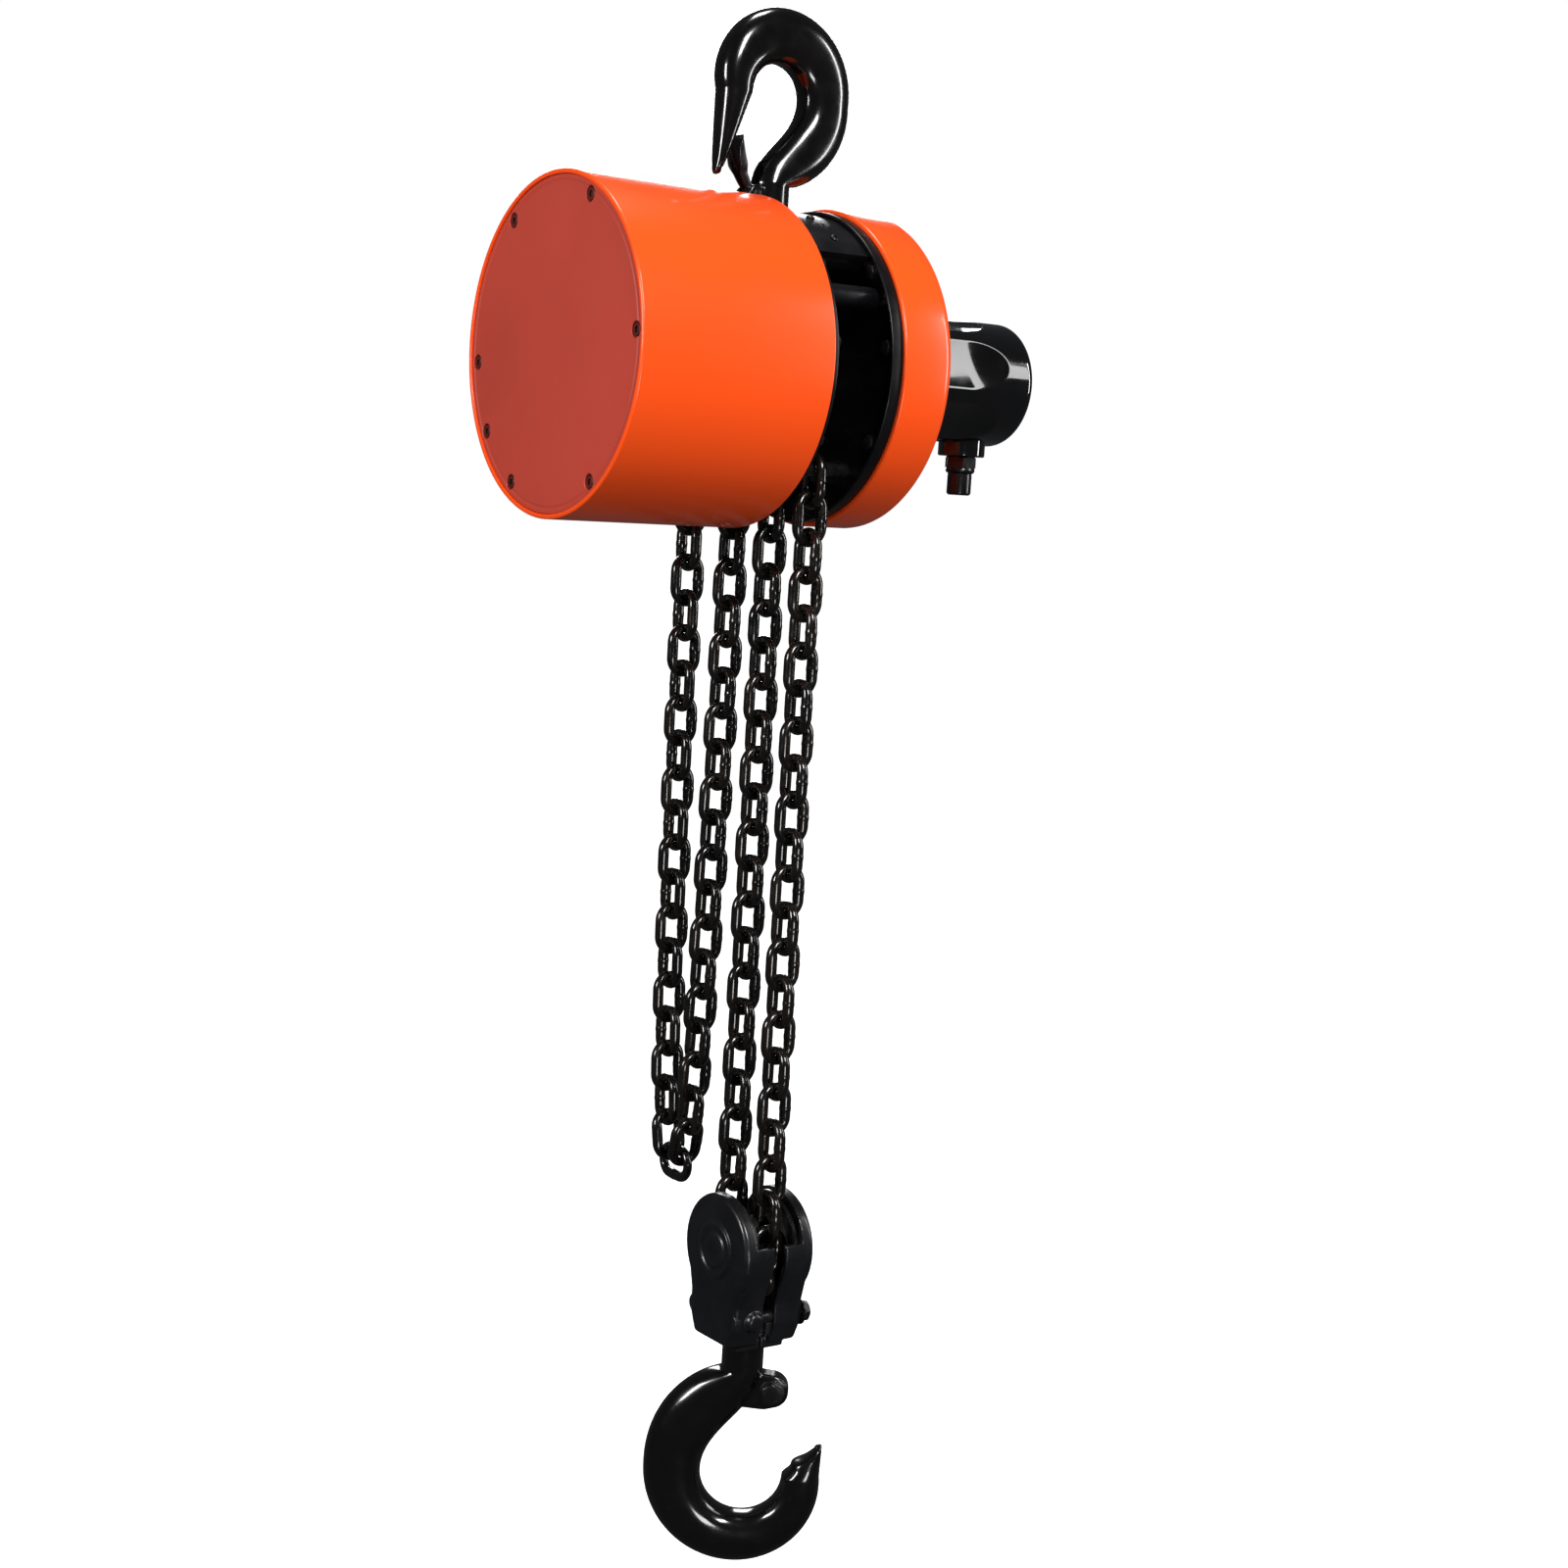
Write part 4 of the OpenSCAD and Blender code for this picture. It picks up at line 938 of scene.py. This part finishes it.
def bearing(node, name, inner):
    """Thrust bearing: two races with the balls' groove between them, turned as one."""
    low, high = box(node)
    mid = (low + high) / 2
    r, h = (high[0] - low[0]) / 2, high[2] - low[2]
    race = [(0, inner), (0, r, 0.7), (h * 0.36, r, 0.5), (h * 0.36, r - 1.6), (h * 0.62, r - 1.6),
            (h * 0.62, r, 0.5), (h, r, 0.7), (h, inner)]
    piece(name, upright(lathe(race, 0, 0, 72), mid[0], mid[1], low[2]), node)


bearing("top_thrust_bearing", "top_thrust_race", SHANK_R + 0.05)
bearing("hook_thrust_bearing", "block_thrust_race", SHANK_R + 0.05)
low, high = box("hook_nut")
piece("hook_nut_domed", upright(lathe([
    (0, SHANK_R - 0.5), (0, 20.5, 0.8), (high[2] - low[2], 20.5, 2.5),
    (high[2] - low[2], SHANK_R - 0.5)], 0, 0, 72), 0, idler_y, low[2]), "hook_nut")

# ---------- hook block: two cast halves that leave a slot for the links ----------

SHELL_OUT = box("block_shell_rear")[1][0] - BOSS_T
HEAD_R, CUP_R, CUP_TOP, WELL_R, SLOT = 46.0, 41.0, 10.0, 22.5, 5.5
FOOT_HALF_Y, FOOT_T, FOOT_X = 24, 10, (0.3, 23.4)


def block_outline():
    """Side walls and tapered foot below a round head, about the idler's axis."""
    pts = [(34, -42, 9), (34, -60, 7), (26, -78, 5), (-26, -78, 5), (-34, -60, 7),
           (-34, -42, 9)]
    head = [(HEAD_R * math.cos(math.radians(a)), HEAD_R * math.sin(math.radians(a)), 0)
            for a in range(214, -35, -4)]
    return resampled(filleted(pts + head, True, 8), 220)


def half_block(side):
    """Cast half, side -1 in front and 1 behind: its walls, and a boss and foot still to add."""
    outline = block_outline() + np.array([idler_y, idler_z])
    a, b = sorted((side * SLOT, side * SHELL_OUT))
    plate = slab(outline, a, b, 4.5 if side < 0 else 1.5, 6, 1.5 if side < 0 else 4.5)
    face, top = side * SHELL_OUT, side * (SHELL_OUT + BOSS_T)
    groove = side * (SHELL_OUT + BOSS_T - 1.6)
    boss = lathe([(face - 4 * side, 0), (face - 4 * side, 25.5, 0), (top, 23.0, 1.6),
                  (top, 19.0, 0.6), (groove, 18.0, 0.6), (groove, 15.0, 0.6), (top, 14.0, 0.6),
                  (top, 0)], idler_y, idler_z, 96, closed=False)
    foot_x = sorted(side * x for x in FOOT_X)
    foot = block((foot_x[0], idler_y - FOOT_HALF_Y, idler_z - FOOT_H),
                 (foot_x[1], idler_y + FOOT_HALF_Y, idler_z - FOOT_H + FOOT_T), 2.0, 3)
    x0, x1 = sorted((side * -8.0, side * SHELL_IN))
    cup = rod(x0, x1, CUP_R, idler_y, idler_z, 0.1)
    mouth = block((x0, idler_y - 70, idler_z + CUP_TOP), (x1, idler_y + 70, idler_z + 70), 1.0, 2)
    well = upright(rod(0, 60, WELL_R, fillet=0.1), 0, idler_y, idler_z - FOOT_H + FOOT_T)
    obj = new_object("half", plate)
    for tool in (cup, mouth, well):
        cut(obj, tool)
    return obj, [boss, foot]


def finish_half(name, side, node, extras=()):
    """Runs a half and what is cast onto it into one skin, then bores it for the hook's shank."""
    obj, more = half_block(side)
    for part in more + list(extras):
        add(obj, part)
    soften(obj, 0.8, 4)
    cut(obj, upright(rod(-4, 14, SHANK_R + 0.4), 0, idler_y, idler_z - FOOT_H))
    obj.name = name
    piece(name, obj, node, paint="cast_black")


def lug(side):
    """Domed cast lug on one side wall of the front half, standing out along Y."""
    part = lathe([(27, 0), (27, 9.0), (34, 8.8), (39, 6.5, 4.5), (39, 0)], 0, 0, 40, closed=False)
    return moved(part, (-15, idler_y, BOLT_Z), turn_about("Z", 90 * side))


finish_half("block_half_front", -1, "block_shell_front", [lug(1), lug(-1)])
finish_half("block_half_rear", 1, "block_shell_rear")

BOLT_R, BOLT_HEAD_R, BLOCK_HEX_R, BLOCK_WASHER_R = 5.0, 7.9, 9.0, 11.0
bolts, nuts = [], []
for s in (-1, 1):
    y = idler_y + s * BOLT_Y
    bolts.append(lathe([(-SHELL_OUT + 3, 0), (-SHELL_OUT + 3, 3.4), (-SHELL_OUT + 0.2, 3.6, 0.3),
                        (-SHELL_OUT + 0.2, BOLT_HEAD_R, 0.8), (-SHELL_OUT + 6, BOLT_HEAD_R),
                        (-SHELL_OUT + 6, BOLT_R), (SHELL_OUT + 9, BOLT_R, 0.8),
                        (SHELL_OUT + 9, 0)], y, BOLT_Z, 48, closed=False))
    nuts += [hex_head(SHELL_OUT + 1, SHELL_OUT + 8, BLOCK_HEX_R, y, BOLT_Z, 0, -21 * s,
                      bore=BOLT_R - 0.1),
             rod(SHELL_OUT, SHELL_OUT + 1, BLOCK_WASHER_R, y, BOLT_Z, 0.4)]
piece("block_bolt_set", joined(*bolts), "block_bolts")
piece("block_nut_set", joined(*nuts), "block_nuts")

# ---------- load hook ----------

turn_hook = turn_about("Z", HOOK_TURN)


def on_hook(part):
    """Places a part made in the load hook's own frame."""
    return moved(part, (0, idler_y, BOWL_Z), turn_hook)


lug_turn = turn_about("Z", 90)


def lug_part(part):
    """A part made along X from the lug's middle, laid along the hook's Y axis."""
    return on_hook(moved(part, (LUG_X, 0, LUG_Z), lug_turn))


LUG_HALF_T, LUG_BOLT_R, LUG_HEX_R, LUG_WASHER_R = 9, 4.0, 9.0, 10.6
low_neck_h, low_neck = LOW_BOWL["neck_h"], LOW_BOWL["neck"]
neck_len = FOOT_DROP - low_neck_h - 0.3
neck_part = upright(lathe([(0, 0), (0, low_neck, 0.5), (neck_len, low_neck, 1.2), (neck_len, 0)],
                          0, 0, 72, closed=False), 0, 0, low_neck_h)
lug_outline = resampled(filleted(
    [(-24, -15, 0), (-6, -16, 6)] +
    [(LUG_R * math.cos(math.radians(a)), LUG_R * math.sin(math.radians(a)), 0)
     for a in range(-70, 100, 10)] + [(-8, 15, 6), (-24, 18, 0)], True, 6), 90)
lug_slab = slab(lug_outline, -LUG_HALF_T, LUG_HALF_T, 2.2, 4)
lug_forged = moved((np.asarray(lug_slab[0])[:, [1, 0, 2]], lug_slab[1]), (LUG_X, 0, LUG_Z))
low_body = fused("load_hook_forged", [hook_mesh(**LOW_BOWL, notch=4.5), neck_part, lug_forged],
                 0.9, 5)
cut(low_body, moved(rod(-30, 30, LUG_BOLT_R + 0.1), (LUG_X, 0, LUG_Z), lug_turn))
add(low_body, upright(rod(0, FOOT_DROP + 27 - low_neck_h, SHANK_R), 0, 0, low_neck_h))
low_body.data.transform(Matrix.Translation((0, idler_y * MM, BOWL_Z * MM))
                        @ Matrix.Rotation(math.radians(HOOK_TURN), 4, "Z"))
hook_forged = piece("load_hook_forged", low_body, "bottom_hook")
piece("lug_bolt_fine", joined(
    lug_part(hex_head(-15, -10, LUG_HEX_R, chamfer_at=-1)),
    lug_part(rod(-10, -LUG_HALF_T, LUG_WASHER_R, fillet=0.4)),
    lug_part(rod(-LUG_HALF_T, 17, LUG_BOLT_R))), "lug_bolt")
piece("lug_nut_fine", joined(
    lug_part(hex_head(10, 16, LUG_HEX_R, chamfer_at=0, bore=LUG_BOLT_R - 0.1)),
    lug_part(rod(LUG_HALF_T, 10, LUG_WASHER_R, fillet=0.4))), "lug_nut")

# ---------- floor, light and camera ----------

FLOOR_HALF, FLOOR_DROP = 30.0, 0.5
floor_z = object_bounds()[0][2] - FLOOR_DROP
floor_mesh = bpy.data.meshes.new("floor")
floor_mesh.from_pydata([(-FLOOR_HALF, -FLOOR_HALF, floor_z), (FLOOR_HALF, -FLOOR_HALF, floor_z),
                        (FLOOR_HALF, FLOOR_HALF, floor_z), (-FLOOR_HALF, FLOOR_HALF, floor_z)],
                       [], [(0, 1, 2, 3)])
floor = bpy.data.objects.new("floor", floor_mesh)
bpy.context.scene.collection.objects.link(floor)
floor_paint = bpy.data.materials.new("floor_paint")
floor_paint.use_nodes = True
floor_shader = floor_paint.node_tree.nodes["Principled BSDF"]
floor_shader.inputs["Base Color"].default_value = (0.9, 0.9, 0.9, 1)
floor_shader.inputs["Roughness"].default_value = 0.9
floor_shader.inputs["Specular IOR Level"].default_value = 0.1
floor_mesh.materials.append(floor_paint)
floor.visible_glossy = False
floor.visible_diffuse = False

# the background is white to the camera and dim to the object, as in a studio with a white sweep
world = bpy.data.worlds.new("studio")
world.use_nodes = True
nodes, links = world.node_tree.nodes, world.node_tree.links
backdrop = nodes["Background"]
backdrop.inputs["Color"].default_value = (1, 1, 1, 1)
backdrop.inputs["Strength"].default_value = 1.0
room = nodes.new("ShaderNodeBackground")
room.inputs["Color"].default_value = (0.92, 0.96, 1.0, 1)
room.inputs["Strength"].default_value = 0.06
path = nodes.new("ShaderNodeLightPath")
blend = nodes.new("ShaderNodeMixShader")
links.new(path.outputs["Is Camera Ray"], blend.inputs["Fac"])
links.new(room.outputs["Background"], blend.inputs[1])
links.new(backdrop.outputs["Background"], blend.inputs[2])
links.new(blend.outputs["Shader"], nodes["World Output"].inputs["Surface"])
bpy.context.scene.world = world


def lamp(name, place, target, size, power, size_y=None):
    """Area lamp at a place, aimed at a target; sizes in metres, power in watts."""
    data = bpy.data.lights.new(name, "AREA")
    data.shape = "RECTANGLE"
    data.size, data.size_y = size, size_y or size
    data.energy = power
    obj = bpy.data.objects.new(name, data)
    bpy.context.scene.collection.objects.link(obj)
    obj.location = place
    obj.rotation_euler = (Vector(target) - Vector(place)).to_track_quat("-Z", "Y").to_euler()
    return obj


lamp("key", (-0.3, -2.6, 1.5), (0, 0, -0.35), 0.6, 84, 1.2)
lamp("side", (2.2, -1.5, 0.3), (0, 0, -0.5), 0.25, 30, 1.8)
lamp("front", (-2.7, -0.2, 0.3), (0, 0, -0.5), 0.5, 56, 1.0)
lamp("low", (-0.7, -2.1, -1.05), (0, 0, -0.3), 0.4, 13, 0.6)
strip = lamp("strip", (1.4, -1.35, 0.75), (0.15, 0, -0.24), 0.3, 9, 1.3)
lamp("top", (0.2, 0.3, 2.2), (0, 0, -0.3), 0.7, 30)
lamp("back", (1.4, 2.4, 0.5), (0, 0, -0.5), 1.2, 46)

sun_data = bpy.data.lights.new("floor_lamp", "SUN")
sun_data.energy = 4.0
sun = bpy.data.objects.new("floor_lamp", sun_data)
bpy.context.scene.collection.objects.link(sun)


def light_only(source, *objects):
    """Lets a lamp light nothing but the given objects."""
    receivers = bpy.data.collections.new(source.name + "_receivers")
    for obj in objects:
        receivers.objects.link(obj)
    source.light_linking.receiver_collection = receivers


light_only(sun, floor)
light_only(strip, cap_shell, gland_nut, hook_forged)

# degrees and metres, set by comparing the render with the object's picture
AZIMUTH, ELEVATION, ROLL = -35.601, 6.912, 3.456
CAMERA_AT = (-1.1630, -1.6942, -0.3299)
CAMERA_LENS, SENSOR_WIDTH = 57.28, 36.0
az, el, roll = (math.radians(v) for v in (AZIMUTH, ELEVATION, ROLL))
ahead = Vector((-math.sin(az) * math.cos(el), math.cos(az) * math.cos(el), -math.sin(el)))
right = ahead.cross(Vector((0, 0, 1))).normalized()
below = ahead.cross(right)
right, below = (right * math.cos(roll) - below * math.sin(roll),
                right * math.sin(roll) + below * math.cos(roll))
camera_data = bpy.data.cameras.new("camera")
camera_data.lens = CAMERA_LENS
camera_data.sensor_width = SENSOR_WIDTH
camera = bpy.data.objects.new("camera", camera_data)
bpy.context.scene.collection.objects.link(camera)
camera.matrix_world = Matrix((
    (right.x, -below.x, -ahead.x, CAMERA_AT[0]), (right.y, -below.y, -ahead.y, CAMERA_AT[1]),
    (right.z, -below.z, -ahead.z, CAMERA_AT[2]), (0, 0, 0, 1)))
bpy.context.scene.camera = camera
bpy.context.scene.view_settings.view_transform = "Standard"
